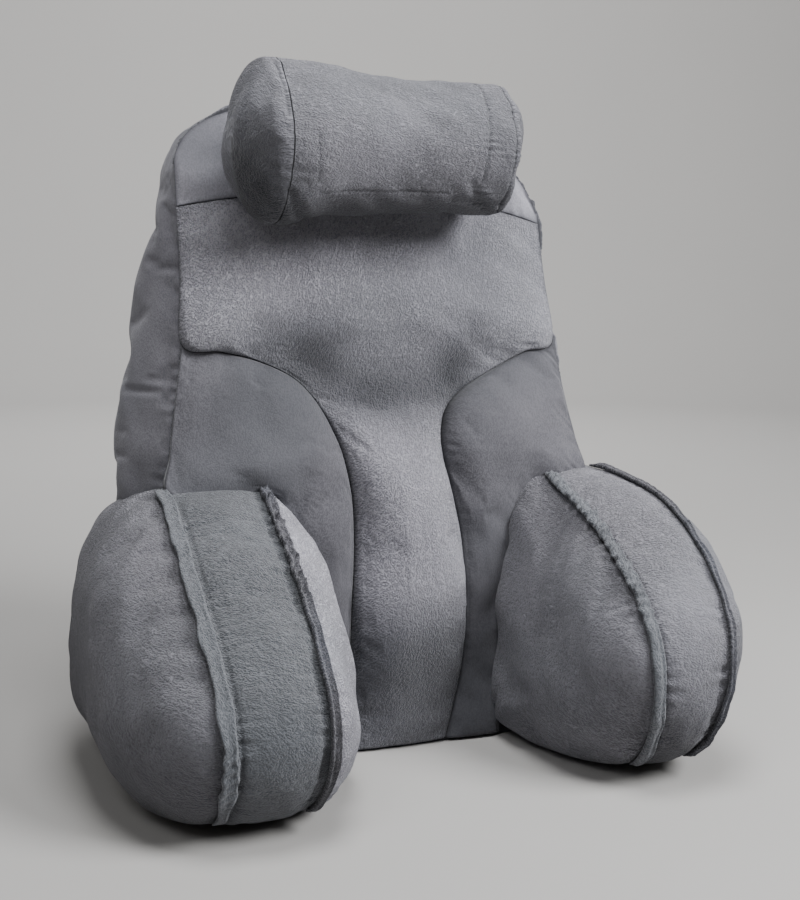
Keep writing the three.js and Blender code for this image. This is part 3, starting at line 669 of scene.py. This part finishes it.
# the T-shaped panel: each row runs from seam to seam, and its crown rises from the seams, the floor and the yoke
def makeFront():
    count, columns = panels["frontGrid"]
    t = np.linspace(0, lastRow, count)[:, None]
    across = spread(np.linspace(0, 1, columns))[None, :]
    leftX, leftZ = frontEdge("left", t, -gap)
    rightX, rightZ = frontEdge("right", t, -gap)
    half = np.where(across < 0, leftX, rightX)
    x = across * half
    z = mix(np.where(across < 0, leftZ, rightZ), curveThrough(frontRows[:, 4], t), 1 - across**2)
    fromSide = (1 - np.abs(across)) * half
    fromYoke = (1 - t / lastRow) * panels["yokeLength"]
    reach = curveThrough(frontRows[:, 6], t)
    atSide = mix(rise(fromSide, reach), slope(fromSide, reach * 1.1), 0.75 * ease((t - 10.5) / 2))
    atYoke = mix(rise(fromYoke, panels["yokeReach"]), slope(fromYoke, panels["yokeReach"] * 1.3), 0.8)
    crown = curveThrough(frontRows[:, 5], t) * atSide * rise(z + panels["footLift"], panels["footReach"]) * atYoke
    fromTop = fromYoke * 3
    nearest = np.minimum(fromSide, np.minimum(fromTop, z + 2))
    height = (0.7 * gathers(31, z + across * 40, fromSide, 12, 12) + 0.7 * gathers(32, x, fromTop, 14, 12)
              + 1.6 * uneven(33, x, z, 130, 8) + 0.4 * uneven(34, x, z, 42)) * unit(nearest / 5)
    for dipX, dipZ, size, depth in panels["neckDips"]:
        height = height - depth * bell(np.hypot(x - dipX, (z - dipZ) * 0.8), size) * unit(fromSide / 8)
    height = np.maximum(height, 1.5 - back["rim"] - crown)
    points = settled(onFront(x, z, crown, height), unit((nearest - 1.5) / 14), letOut=0.006, cap=2)
    # painted shade along the seams and in the shaded patches
    shade = np.maximum(near(fromSide, 2.5), near(fromTop, 2.5)) * 0.7 + paintedShade(panels["paintedShadePatches"], x, z)
    piece = meshFrom("frontPanel", points, shade=shade)
    fit(piece, ["front_panel"], materials["front"])


# the panel between the yoke seam and the shoulders' curve; its crown is two quarters of a sine multiplied
def makeHeadrest():
    count, columns = panels["headrestGrid"]
    v = np.linspace(0, 1, count)[:, None]
    across = spread(np.linspace(0, 1, columns))[None, :]
    corners = [frontEdge(side, float(lastRow), -gap) for side in signs]
    cornerX, cornerZ = (np.where(across < 0, *pair) for pair in zip(*corners))
    widest, low, power = (np.where(across < 0, *pair) for pair in zip(*back["shoulders"].values()))
    x = across * cornerX + 0 * v
    yokeZ = mix(cornerZ, panels["yokeMiddleZ"], 1 - across**2) + 2 * gap
    share = np.minimum(np.abs(x) / (widest - 1), 1)
    topZ = np.maximum(low + (back["topZ"] - low) * (1 - share**power) ** (1 / power) - 3, cornerZ + 12)
    z = mix(yokeZ, topZ, v)
    fromSide = (1 - np.abs(across)) * cornerX
    fromEdge = np.minimum(z - yokeZ, topZ - z)
    crown = panels["headrestCrown"] * slope(fromSide, 60) * slope(fromEdge, 34)
    nearest = np.minimum(fromEdge, fromSide)
    height = (0.9 * gathers(41, x, fromEdge, 13, 12) + 0.9 * uneven(42, x, z, 60)) * unit(nearest / 5)
    piece = meshFrom("headrestPanel", onFront(x, z, crown, height), shade=near(nearest, 2.5))
    fit(piece, ["headrest_panel"], materials["headrest"])


# seams of each arm from its root over the top and down the front: inner x y z, outer x y z
armSeams = {
    "left": np.array([
        (141, 56, 284, 244, 56, 284), (145, 0, 270, 244, 0, 270), (147, -70, 238, 246, -70, 238),
        (147, -130, 200, 245, -130, 200), (148, -180, 162, 243, -180, 162), (148, -212, 120, 241, -212, 120),
        (149, -214, 80, 240, -214, 80), (154, -190, 38, 241, -190, 38), (158, -148, 10, 242, -148, 10),
        (158, -100, 0, 242, -100, 0)], float),
    "right": np.array([
        (186, 56, 284, 244, 56, 284), (182, 0, 269, 257, 0, 279), (179, -75, 248, 268, -75, 262),
        (175, -140, 219, 268, -140, 229), (173, -186, 189, 264, -186, 194), (172, -214, 156, 259, -214, 158),
        (172, -224, 121, 255, -224, 122), (174, -219, 84, 251, -219, 84), (179, -196, 44, 247, -196, 44),
        (184, -154, 12, 245, -154, 12), (186, -105, 0, 244, -105, 0)], float),
}
arm = {
    "topZ": 284, "channel": 0.11, "core": (-70, 110), "steps": 26,
    "stripGrid": (80, 320, 26),  # rows across it, columns along the seams and down to the floor
    "cheekGrid": {"inner": (70, 300, 331), "outer": (70, 300, 373)},  # rings, places along the seam and once round
    "swell": {"left": {"inner": 47, "outer": 92, "strip": 7}, "right": {"inner": 70, "outer": 62, "strip": 8}},
    "belly": {"left": (0.55, -62, 60), "right": (0, 0, 1)},  # share, y, reach
    "innerDome": {"left": (20, 2.4), "right": (18, 1.9)},  # z, power
    "outerDome": {"left": (10, 112, 2.2), "right": (10, 112, 2)},  # y, z, power
    "rearEdge": [(60, 0), (150, 0), (184, 10), (200, 45), (204, 115), (202, 180), (190, 226), (152, 256),
                 (104, 276)],
    "rearX": 243,
    # creases in the cheeks: y and z of both ends, width, depth
    "creases": {"inner_left": [((-30, 188), (-66, 170), 3, 1.1), ((-20, 232), (-70, 214), 5, 1.0)],
                "outer_left": [((-120, 60), (-150, 95), 9, 1.4)],
                "inner_right": [((20, 250), (-30, 225), 6, 1.2), ((-30, 60), (-120, 78), 12, 1.2)],
                "outer_right": []},
    # painted shade low on the cheeks and strips and at the top of the right inner cheek: along, z, size along both,
    # share
    "paintedShadePatches": {"inner_left": [(-120, 10, 200, 60, 0.5)], "outer_left": [(-140, 10, 200, 80, 0.85)],
                    "inner_right": [(-60, 250, 70, 40, 0.2)], "outer_right": [(-120, 20, 200, 60, 0.5)]},
    "stripPaintedShade": {"left": [(0, 20, 400, 50, 0.3)], "right": [(0, 10, 400, 80, 1.15)]},
}


# a place on an arm's seam; it stays above the floor and in front of the back's seams
def armSeam(side, edge, t):
    first = 0 if edge == "inner" else 3
    x, y, z = (curveThrough(armSeams[side][:, first + k], t) for k in range(3))
    z = np.maximum(z, 0)
    return np.stack([signs[side] * x, np.minimum(y, seamPlane(z) - gap), z], -1)


def wholeSeam(side, edge, count):
    return armSeam(side, edge, np.linspace(0, len(armSeams[side]) - 1, count))


# square to the seam and to the arm's width, pointing out of the arm
def outOfArm(seam):
    ahead = np.gradient(seam, axis=0)
    out = np.stack([np.zeros(len(seam)), ahead[:, 2], -ahead[:, 1]], 1)
    return out / np.maximum(np.linalg.norm(out, axis=1, keepdims=True), 1e-9)


# the middle of an arm's flat faces, as the part has it: the mean of a coarser ring
def armMiddle(side, edge):
    ring = wholeSeam(side, edge, arm["steps"] + 1)
    return np.array([(ring[:, 0].sum() + 2 * ring[-1, 0]) / (len(ring) + 2), *arm["core"]])


# an inner cheek swells more at its belly
def bellied(side, y):
    share, middle, reach = arm["belly"][side]
    return 1 + share * bell(y - middle, reach)


# where the inner cheek meets the front panels: half the distance between the arms at a height
def armRootX(side, z):
    low, power = arm["innerDome"][side]
    size = np.maximum(z - low, 0) / (arm["topZ"] - low)
    out = arm["swell"][side]["inner"] * (1 - size**power) ** (1 / power) * bellied(side, seamPlane(z))
    return mix(abs(armMiddle(side, "inner")[0]), armSeams[side][0, 0], size) - out


# a side panel: rows from the T-shaped panel's seam to the arm's root or the side seam. Its crown rises steeply
# from the inner seam and gently from the outer one, and it puckers where it meets the top of the arm
def makeWing(side):
    sign = signs[side]
    rows = panels["wingRows"]
    edges = np.array([(armRootX(side, z) + panels["wingTuck"] if x is None else x, z, crown)
                      for x, z, crown in wingEdges[side]], float)
    count, columns = panels["wingGrid"]
    u = np.linspace(0, 1, columns)[None, :]
    t = np.linspace(0, rows, count)[:, None]
    innerX, innerZ = frontEdge(side, t, gap)
    outerX, outerZ, crown = (curveThrough(edges[:, k], t) for k in range(3))
    f = mix(u, (1 + spread(u)) / 2, 0.6)
    x = mix(innerX, outerX, f)
    z = mix(innerZ, outerZ, f)
    width = np.hypot(outerX - innerX, outerZ - innerZ)
    fromTop = (1 - t / rows) * panels["wingLength"]
    outerReach = mix(panels["besideArm"], panels["aboveArm"], ease((t - 4.5) / 2))
    hold = np.maximum(curveThrough(panels["wingHold"], t), 0)
    crown = (crown * rise(f * width, panels["innerReach"]) * mix(hold, 1, slope((1 - f) * width, outerReach))
             * rise(z + panels["footLift"], panels["footReach"]) * rise(fromTop, panels["topReach"]))
    nearest = np.minimum(np.minimum(f, 1 - f) * width, fromTop)
    aboveArm = bell(t - 6.6, 1.1)
    height = (0.6 * gathers(51 + sign, z, f * width, 12, 10)
              + (0.6 + 0.9 * aboveArm) * gathers(54 + sign, z + x, (1 - f) * width, 11, 15)
              + 1.1 * uneven(57 + sign, x, z, 90, 8) + 0.3 * uneven(58 + sign, x, z, 36)) * unit(nearest / 5)
    points = settled(onFront(sign * x, z, crown, height), unit((nearest - 1) / 10), letOut=0.007, cap=1.6)
    # painted shade along the seams and low on the panel
    shade = np.maximum(near(np.minimum(f * width, fromTop), 2.5), near((1 - f) * width, 1.6) * 0.7) * 0.7
    shade = shade + paintedShade(panels["sidePaintedShade"][side], sign * x, z)
    piece = meshFrom("sidePanel_" + side, points, shade=shade)
    fit(piece, ["wing_panel_" + side], materials["wing"])


# strip over the top and down the front of an arm: level beside each seam and swollen between
def makeStrip(side):
    sign = signs[side]
    rows, count, floorCount = arm["stripGrid"]
    floor = np.linspace(0, 1, floorCount)[1:, None]
    inner, outer = (wholeSeam(side, edge, count) for edge in ("inner", "outer"))
    inner, outer = (np.vstack([seam, mix(seam[-1], np.array([seam[-1, 0], -gap, 0]), floor)])
                    for seam in (inner, outer))
    outwards = outOfArm(inner)
    channel = arm["channel"]
    f = (0.5 - 0.5 * np.cos(np.linspace(0, np.pi, rows)))[:, None]
    i = np.arange(len(inner)) * arm["steps"] / (count - 1)
    free = np.where(i < arm["steps"], ease(i / 4) * ease((arm["steps"] - 1 - i) / 5), 0)
    swell = arm["swell"][side]["strip"] * free * rise(np.minimum(f, 1 - f) - channel, 0.5 - channel)
    length = lengthAlong(inner)
    away = np.minimum(f, 1 - f) * 100
    relief = (0.9 * gathers(61 + sign, length, np.maximum(away - 8, 0), 12, 14)
              + 1.2 * uneven(63 + sign, f * 100, length, 80, 8)
              + 0.4 * uneven(64 + sign, f * 100, length, 30)) * free * unit(away / 8)
    share = ease((f - channel) / (1 - 2 * channel))[..., None]
    points = mix(inner, outer, share) + outwards * (swell + relief)[..., None]
    points[..., 0] = mix(inner[:, 0], outer[:, 0], f) + sign * mix(gap, -gap, f)
    keepAboveFloor(points)
    poles = [armMiddle(side, "inner") + [sign * gap, 0, 0], armMiddle(side, "outer") - [sign * gap, 0, 0]]
    loose = unit((away - 9) / 16) * free
    points = settled(points, loose, poles, letOut=0.012)
    nap = np.stack([points[..., 0], length + 0 * f], 2)
    # painted shade along the seams and low on the strip
    shade = near(away, 2) + paintedShade(arm["stripPaintedShade"][side], 0 * f, points[..., 2])
    piece = meshFrom("armStrip_" + side, points, poles, nap, shade)
    fit(piece, ["arm_gusset_" + side], materials["strip_" + side])


# rings of the seam drawn in towards a point while they swell sideways along a superellipse
def makeCheek(side, edge):
    sign = signs[side] * (-1 if edge == "inner" else 1)
    rings, count, columns = arm["cheekGrid"][edge]
    seam = wholeSeam(side, edge, count)
    if edge == "inner":
        domeZ, power = arm["innerDome"][side]
        domeY = seamPlane(domeZ) - gap
        corners = [(seam[-1, 0], -gap, 0)]
    else:
        domeY, domeZ, power = arm["outerDome"][side]
        rearY, rearZ = (curveThrough(column, np.linspace(0, len(column) - 1, 120))
                        for column in np.array(arm["rearEdge"], float).T)
        corners = np.stack([np.full(len(rearY), signs[side] * arm["rearX"]), rearY, np.maximum(rearZ, 0)], 1)
    rim = evenly(np.vstack([seam, corners, seam[0]]), columns)[:-1]
    middle = armMiddle(side, edge)
    angle = np.linspace(0, np.pi / 2, rings)[:-1, None]
    size = np.cos(angle) ** (2 / power)
    out = arm["swell"][side][edge] * np.sin(angle) ** (2 / power)
    y = mix(domeY, rim[:, 1], size)
    z = mix(domeZ, rim[:, 2], size)
    x = mix(middle[0], rim[:, 0], size) + sign * out * (bellied(side, y) if edge == "inner" else 1)
    points = np.stack([x, y, z], 2)
    length = np.arange(len(rim)) * np.linalg.norm(rim[1] - rim[0])
    away = out * 1.2 + (1 - size) * 100
    seed = 70 + 2 * signs[side] + (edge == "inner")
    relief = ((1.1 if edge == "inner" else 0.6) * gathers(seed, length, np.maximum(away - 9, 0), 14, 20)
              + 1.9 * uneven(seed + 10, y, z, 110, 8) + 0.5 * uneven(seed + 20, y, z, 40))
    for first, second, width, depth in arm["creases"][f"{edge}_{side}"]:
        relief = relief - depth * nearLine(y, z, first, second, width)
    points = raised(points, relief * unit(away / 10) * ease(z / 30), (middle[0], domeY, domeZ))
    keepAboveFloor(points)
    poles = [middle, points[-1].mean(0)]
    loose = unit((away - 8) / 16) * ease((z - 6) / 30)
    points = settled(points, loose, poles, poleFree=True)
    keepAboveFloor(points)
    poles[1] = points[-1].mean(0)
    # painted shade along the seam and low on the cheek
    shade = near(away, 2) + paintedShade(arm["paintedShadePatches"][f"{edge}_{side}"], y, z)
    skin = np.cumsum(np.linalg.norm(np.diff(points, axis=0, prepend=points[:1]), axis=2), axis=0)
    skin = skin[-1] - skin + np.linalg.norm(points[-1] - poles[1], axis=1)
    turn = np.arctan2(points[..., 2] - domeZ, points[..., 1] - domeY)
    nap = np.stack([skin * np.cos(turn), skin * np.sin(turn)], 2)
    piece = meshFrom(f"{edge}Cheek_{side}", points, poles, nap, shade)
    look = materials["outer" if edge == "outer" else "inner_" + side]
    fit(piece, [f"arm_{edge}_cheek_{side}"], look)


fold = {
    "grid": (400, 40), "rootClearance": {"inner": 17, "outer": 9}, "floorClearance": 9, "clearHeight": 9,
    # width, height, lean of the top, then ridges (place across, width, height); places run from -0.5 to 0.5 with
    # the object's x. Then the crumpled stretches (start, end, strength) and where the narrow tail begins
    "outer_left": {"width": 15, "height": 7, "lean": -2.2, "look": "fold",
                   "ridges": [(-0.4, 0.09, 0.1), (0.38, 0.07, 0.22), (0.05, 0.2, -0.14)],
                   "crumples": [(0.0, 0.05, 0.4), (0.76, 0.86, 0.7)], "tail": 0.86},
    "inner_left": {"width": 9.5, "height": 8, "lean": 1.5, "look": "dark_fold",
                   "ridges": [(0.36, 0.1, 0.3), (-0.12, 0.12, -0.3), (-0.36, 0.1, 0.1)],
                   "crumples": [(0.04, 0.42, 1.0)], "tail": 0.8},
    "inner_right": {"width": 14, "height": 8.5, "lean": 0.6, "look": "fold",
                    "ridges": [(-0.1, 0.3, 0.16), (0.34, 0.08, 0.14), (0.16, 0.08, -0.14)],
                    "crumples": [(0.03, 0.6, 0.9)], "tail": 0.93},
    "outer_right": {"width": 6.5, "height": 6.5, "lean": 0.3, "look": "dark_fold",
                    "ridges": [(0.3, 0.12, 0.2), (-0.05, 0.12, -0.24), (-0.35, 0.1, 0.08)],
                    "crumples": [(0.2, 0.4, 0.2)], "tail": 0.95},
}


# a doubled strip that stands along a seam: a squared oval with ridges and grooves along it. Its width, height
# and lean wander, most where it is crumpled, and it narrows to a smooth tail
def makeFold(side, edge):
    look = fold[f"{edge}_{side}"]
    rows, columns = fold["grid"]
    seam = wholeSeam(side, edge, rows * 3 + 1)
    outwards = outOfArm(seam)
    lowest = seam[:, 2] + np.minimum(outwards[:, 2], 0) * fold["clearHeight"]
    clear = ((seam[:, 1] < seamPlane(seam[:, 2]) - fold["rootClearance"][edge])
             & (lowest > fold["floorClearance"]))
    place = evenly(np.hstack([seam[clear], outwards[clear]]), rows)
    f = np.linspace(0, 1, rows)[:, None]
    s = f * np.sum(stepsOf(place))
    seed = 200 + 7 * signs[side] + (edge == "inner")
    crumple = sum(strength * ease((f - start) / 0.05 + 0.5) * ease((end - f) / 0.05 + 0.5)
                  for start, end, strength in look["crumples"])
    tail = ease((f - look["tail"]) / 0.07)
    angle = around(columns)[None, :]
    across, up = (np.sign(part) * np.abs(part) ** 0.7 / 2 for part in (np.cos(angle), np.sin(angle)))
    up = 0.5 + up
    width = look["width"] * (1 + 0.06 * ripple(seed, s, 55) + 0.1 * crumple * ripple(seed + 1, s, 19))
    height = look["height"] * (1 + 0.05 * ripple(seed + 2, s, 40) + 0.12 * crumple * ripple(seed + 3, s, 13))
    ends = np.minimum(ease(f / 0.035), ease((1 - f) / 0.04))
    width = width * mix(0.35, 1, ends) * mix(1, 0.75, tail)
    height = height * mix(0.4, 1, ends) * mix(1, 0.8, tail)
    onTop = unit(up * 2 - 1)
    wander = 0.04 * ripple(seed + 4, s, 45) + 0.06 * crumple * ripple(seed + 5, s, 17)
    ridges = sum(high * bell(across - at - wander * (1 if high > 0 else 0.4), wide)
                 for at, wide, high in look["ridges"]) * onTop * (1 - 0.6 * tail)
    creases = 0.09 * (0.25 + crumple) * ripple(seed + 6, s + across * 12, 8) * onTop
    tucked = 0.14 * bell(up - 0.2, 0.22) * np.sign(across)  # drawn in where it meets the seam
    lean = look["lean"] + 0.5 * ripple(seed + 7, s, 60) + 0.9 * crumple * ripple(seed + 8, s, 21)
    out = gap + (0.04 + 0.86 * up + ridges + creases) * height
    points = place[:, None, :3] + place[:, None, 3:] * out[..., None]
    points[..., 0] += (across - tucked) * width + lean * up
    nap = np.stack([across * look["width"] + 0 * s, s + 0 * angle], 2)
    # painted shade: darker where the fold meets the seam, along the tail, and on its left flank in the shadow of the
    # undercut
    leftFlank = ease((-across - 0.25) / 0.2) * ease((1.0 - up) / 0.35)
    shade = unit(1.15 - up * 2.2) + 0.35 * tail + 0.9 * leftFlank
    poles = [points[0].mean(0), points[-1].mean(0)]
    piece = meshFrom(f"{edge}Fold_{side}", points, poles, nap, np.minimum(shade, 1))
    fit(piece, [f"fold_{edge}_{side}"], materials[look["look"]])


roll = {
    "inside": (-8, 42, 631), "halfLength": 121, "grid": (45, 128, 280),  # rows of a cap and the body, columns
    "left": (36, 79, 42), "right": (49, 67, 16),  # y, radius, cap's swell
    "earHeight": 3, "earAngle": 0.35, "earLength": 0.25,
    "flatBehind": 15,  # how far the crown of the panels behind stands out from their seams
    "middleRadius": 73, "gathersAt": {"bandLeft": -93, "bandRight": 91},
    # seams and creases: place and degrees of both ends, width, depth. Places run from -1 at the left rim to 1,
    # and the front is at 180 degrees
    "seams": [((-1.06, 96), (-1.04, 166), 2.2, 1.9), ((-0.81, 180), (-0.78, 213), 1.8, 1.2),
              ((-0.74, 223), (0.42, 226), 1.5, 1.3), ((0.79, 100), (0.73, 186), 1.7, 1.7),
              ((0.73, 186), (0.71, 212), 1.7, 1.6), ((1.0, 60), (1.0, 250), 2.0, 1.6)],
    "creases": [((-0.99, 221), (-0.6, 289), 5, 3.2), ((0.62, 216), (0.95, 262), 6, 3.0),
                ((0.5, 236), (0.98, 240), 7, 2.6), ((-1.2, 150), (-1.16, 210), 6, 0.9),
                ((0.2, 160), (0.55, 172), 7, 0.9), ((-0.5, 120), (-0.1, 135), 8, 1.0)],
    "paintedShadePatches": [(0, 258, 400, 42, 1.0), (-172, 215, 64, 66, 0.8), (116, 185, 28, 60, 0.3)],  # painted shade under the roll and on its left cap; mm and degrees
    # stitched: place and degrees along the right band, degrees along the right rim
    "bandStitches": [(0.79, 100), (0.73, 186), (0.71, 212)], "rimStitches": (80, 230),
    "deepest": 6,  # how far it may sink into what stands behind it
}


# The roll from pole to pole: the left cap, the length between the rims and the right cap. Rows have a place
# along it, a size, and how far they lie along its skin; angle 90 degrees is the top and 180 the front
def makeRoll():
    half = roll["halfLength"]
    middleX, _, middleZ = roll["inside"]
    capRows, bodyRows, columns = roll["grid"]
    (leftY, leftRadius, leftSwell), (rightY, rightRadius, rightSwell) = roll["left"], roll["right"]
    turn = np.linspace(0, np.pi / 2, capRows + 2)[1:-1]
    place = np.concatenate([-1 - leftSwell / half * np.sin(turn[::-1]), np.linspace(-1, 1, bodyRows),
                            1 + rightSwell / half * np.sin(turn)])[:, None]
    size = np.concatenate([np.cos(turn[::-1]) ** 0.8, np.ones(bodyRows), np.cos(turn) ** 0.8])[:, None]
    angle = around(columns)[None, :]
    f = (place + 1) / 2
    ear = roll["earHeight"] * bell(angle - np.pi / 2, roll["earAngle"]) * bell(place + 1, roll["earLength"])
    radius = mix(leftRadius, rightRadius, ease(f * 2)) * size + ear * size**2
    y = mix(leftY, rightY, f) + radius * np.cos(angle)
    z = middleZ + radius * np.sin(angle)
    points = np.stack([middleX + place * half + 0 * angle, y, z], 2)
    s = angle * roll["middleRadius"]
    u = place * half + np.sign(place) * (1 - size) * radius.mean(1, keepdims=True) * 0.5
    onCap = unit((1 - size) * 12)
    relief = (0.6 * gathers(83, s, np.abs(u - half), 6, 8) + 0.4 * gathers(84, s, np.abs(u + half), 13, 14)
              + 0.5 * gathers(81, s, np.abs(u - roll["gathersAt"]["bandRight"]), 7, 8)
              + 0.25 * gathers(82, s, np.abs(u - roll["gathersAt"]["bandLeft"]), 11, 9)
              + 1.6 * uneven(85, u, s, 90, 8) * (1 - onCap) + 0.4 * uneven(86, u, s, 34) * (1 - onCap)
              + (1.6 * uneven(87, y, z, 60, 8) + 0.4 * uneven(88, y, z, 26)) * onCap)
    shade = paintedShade(roll["paintedShadePatches"], place * half, angle * 180 / np.pi)
    for *ends, width, depth in roll["seams"] + roll["creases"]:
        first, second = ((at * half, math.radians(degrees) * roll["middleRadius"]) for at, degrees in ends)
        dip = nearLine(place * half, s, first, second, width) * unit(size * 6 - 2)
        relief = relief - depth * dip
        # painted shade in its seams and creases
        shade = np.maximum(shade, dip * (0.7 if width < 3 else 0.15))
    points = raised(points, relief * unit(size * 4), roll["inside"])
    free = unit(np.abs(np.abs(u) - half) / 14) * unit(size * 3)
    points = settled(points, free, [points[0].mean(0), points[-1].mean(0)], letOut=0.01)
    limit = seamPlane(points[..., 2]) - gap * 2 - back["rim"] - roll["flatBehind"]
    deepest = roll["deepest"]
    over = np.maximum(points[..., 1] - limit, -deepest)
    points[..., 1] = np.where(over > -deepest, limit - deepest * near(over + deepest, deepest), points[..., 1])
    disc = radius * size
    nap = np.where((np.abs(place) <= 1)[..., None], np.stack([u + 0 * s, s + 0 * u], 2),
                   np.stack([disc * np.cos(angle), disc * np.sin(angle)], 2))
    poles = [points[0].mean(0) - [1, 0, 0], points[-1].mean(0) + [0.5, 0, 0]]
    piece = meshFrom("headRoll", points, poles, nap, shade)
    nodes = ["roll_body", "roll_cap_left", "roll_band_left", "roll_band_right", "roll_cap_right"]
    fit(piece, nodes, materials["roll"])
    return points


stitch = {
    "pitch": 4.7, "length": 3.1, "thickness": 0.8, "proud": 0.25, "arch": 0.16,
    "rings": np.array([(-0.5, 0.2), (-0.38, 0.85), (0, 1), (0.38, 0.85), (0.5, 0.2)]),  # share of length, of radius
    "corners": 6, "backSeams": [(0.014, 296), (0.986, 6)],  # share of the depth, lowest z
}


# small rounded threads at an even pitch along lines, whose points have a place and a direction out of the cloth:
# rings of corners about a parabola along each thread
def sew(name, lines):
    threads = []
    for line in lines:
        even = evenly(line, max(int(np.sum(stepsOf(line)) / stitch["pitch"]), 3) + 1)
        threads.append(np.hstack([even, np.gradient(even[:, :3], axis=0)]))
    centre, out, run = np.split(np.vstack(threads)[:, None, None], 3, axis=-1)
    out, run = (part / np.linalg.norm(part, axis=-1, keepdims=True) for part in (out, run))
    rings, corners = len(stitch["rings"]), stitch["corners"]
    along, radius = stitch["rings"].T[:, None, :, None, None]
    along = along * stitch["length"]
    radius = radius * stitch["thickness"] / 2
    turn = around(corners)[None, None, :, None]
    arch = stitch["proud"] - stitch["arch"] * along**2 / stitch["length"]
    points = (centre + run * along + out * (radius * np.sin(turn) + arch)
              + np.cross(run, out) * radius * np.cos(turn))
    start = np.arange(len(points))[:, None, None] * rings * corners
    ends = np.stack([np.arange(corners)[::-1], (rings - 1) * corners + np.arange(corners)])
    faces = (gridFaces(rings, corners) + start).reshape(-1, 4).tolist() + (ends + start).reshape(-1, corners).tolist()
    mesh = newMesh(name, metres(points), faces)
    facesOutwards(mesh)
    fit(placed(name, mesh), [], materials["thread"])


# places of a skin's grid, each with the direction out of it
def onSkin(skin, i, j, inside):
    place, out = skin[i, j], gridNormals(skin)[i, j]
    return np.hstack([place, out * np.sign(np.sum(out * (place - inside), axis=1, keepdims=True))])


# the side seams, front and rear, from above the arms over the shoulders, on the back's finished skin
def sewBack(rings, depth):
    rows = [(np.argmin(np.abs(depth[:, 0] - share)), lowest) for share, lowest in stitch["backSeams"]]
    sew("sideStitches", [onSkin(rings, row, rings[row, :, 2] > lowest, back["inside"]) for row, lowest in rows])


# the roll's stitched seams, on its finished surface: the nearest places of the grid to each seam's line
def sewRoll(points):
    capRows, bodyRows, columns = roll["grid"]
    place, angle = np.array(roll["bandStitches"]).T
    angle = angle / 360 * columns
    column = np.arange(round(angle[0]), round(angle[-1]))
    row = np.round(np.interp(column, angle, capRows + (bodyRows - 1) * (place + 1) / 2)).astype(int)
    rim = np.arange(*(round(degrees / 360 * columns) for degrees in roll["rimStitches"]))
    sew("rollStitches", [onSkin(points, i, j, roll["inside"]) for i, j in ((row, column), (capRows + bodyRows, rim))])


backSkin = makeBack()
makeRear()
makeFront()
makeHeadrest()
for side in signs:
    makeWing(side)
    makeStrip(side)
    for edge in ("inner", "outer"):
        makeCheek(side, edge)
        makeFold(side, edge)
sewRoll(makeRoll())
sewBack(*backSkin)


# a wide round floor, a little cloudy, that bends up by a quarter of a circle into a wall well away from the part
def makeFloor():
    startAt, bend, top = studio["sweep"]
    turn = np.linspace(0, np.pi / 2, 25)
    radius = np.concatenate([[0.01], startAt + bend * np.sin(turn), [startAt + bend]])[:, None]
    height = np.concatenate([[0], bend * (1 - np.cos(turn)), [top]])[:, None]
    angle = around(studio["floorSides"])[None, :]
    points = np.stack(np.broadcast_arrays(radius * np.cos(angle), radius * np.sin(angle), height), 2)
    rows, sides = points.shape[:2]
    mesh = newMesh("floor", points, gridFaces(rows, sides).tolist() + [list(range(sides))[::-1]])
    g = Graph("floorPaint")
    low = (*[value * 0.97 for value in studio["floor"]], 1)
    mesh.materials.append(g.surface({"Base Color": g.blend(g.noise(g.place(), 2.5), low, (*studio["floor"], 1)),
                                     "Roughness": 0.9}))
    placed("floor", mesh)


makeFloor()
print("done")
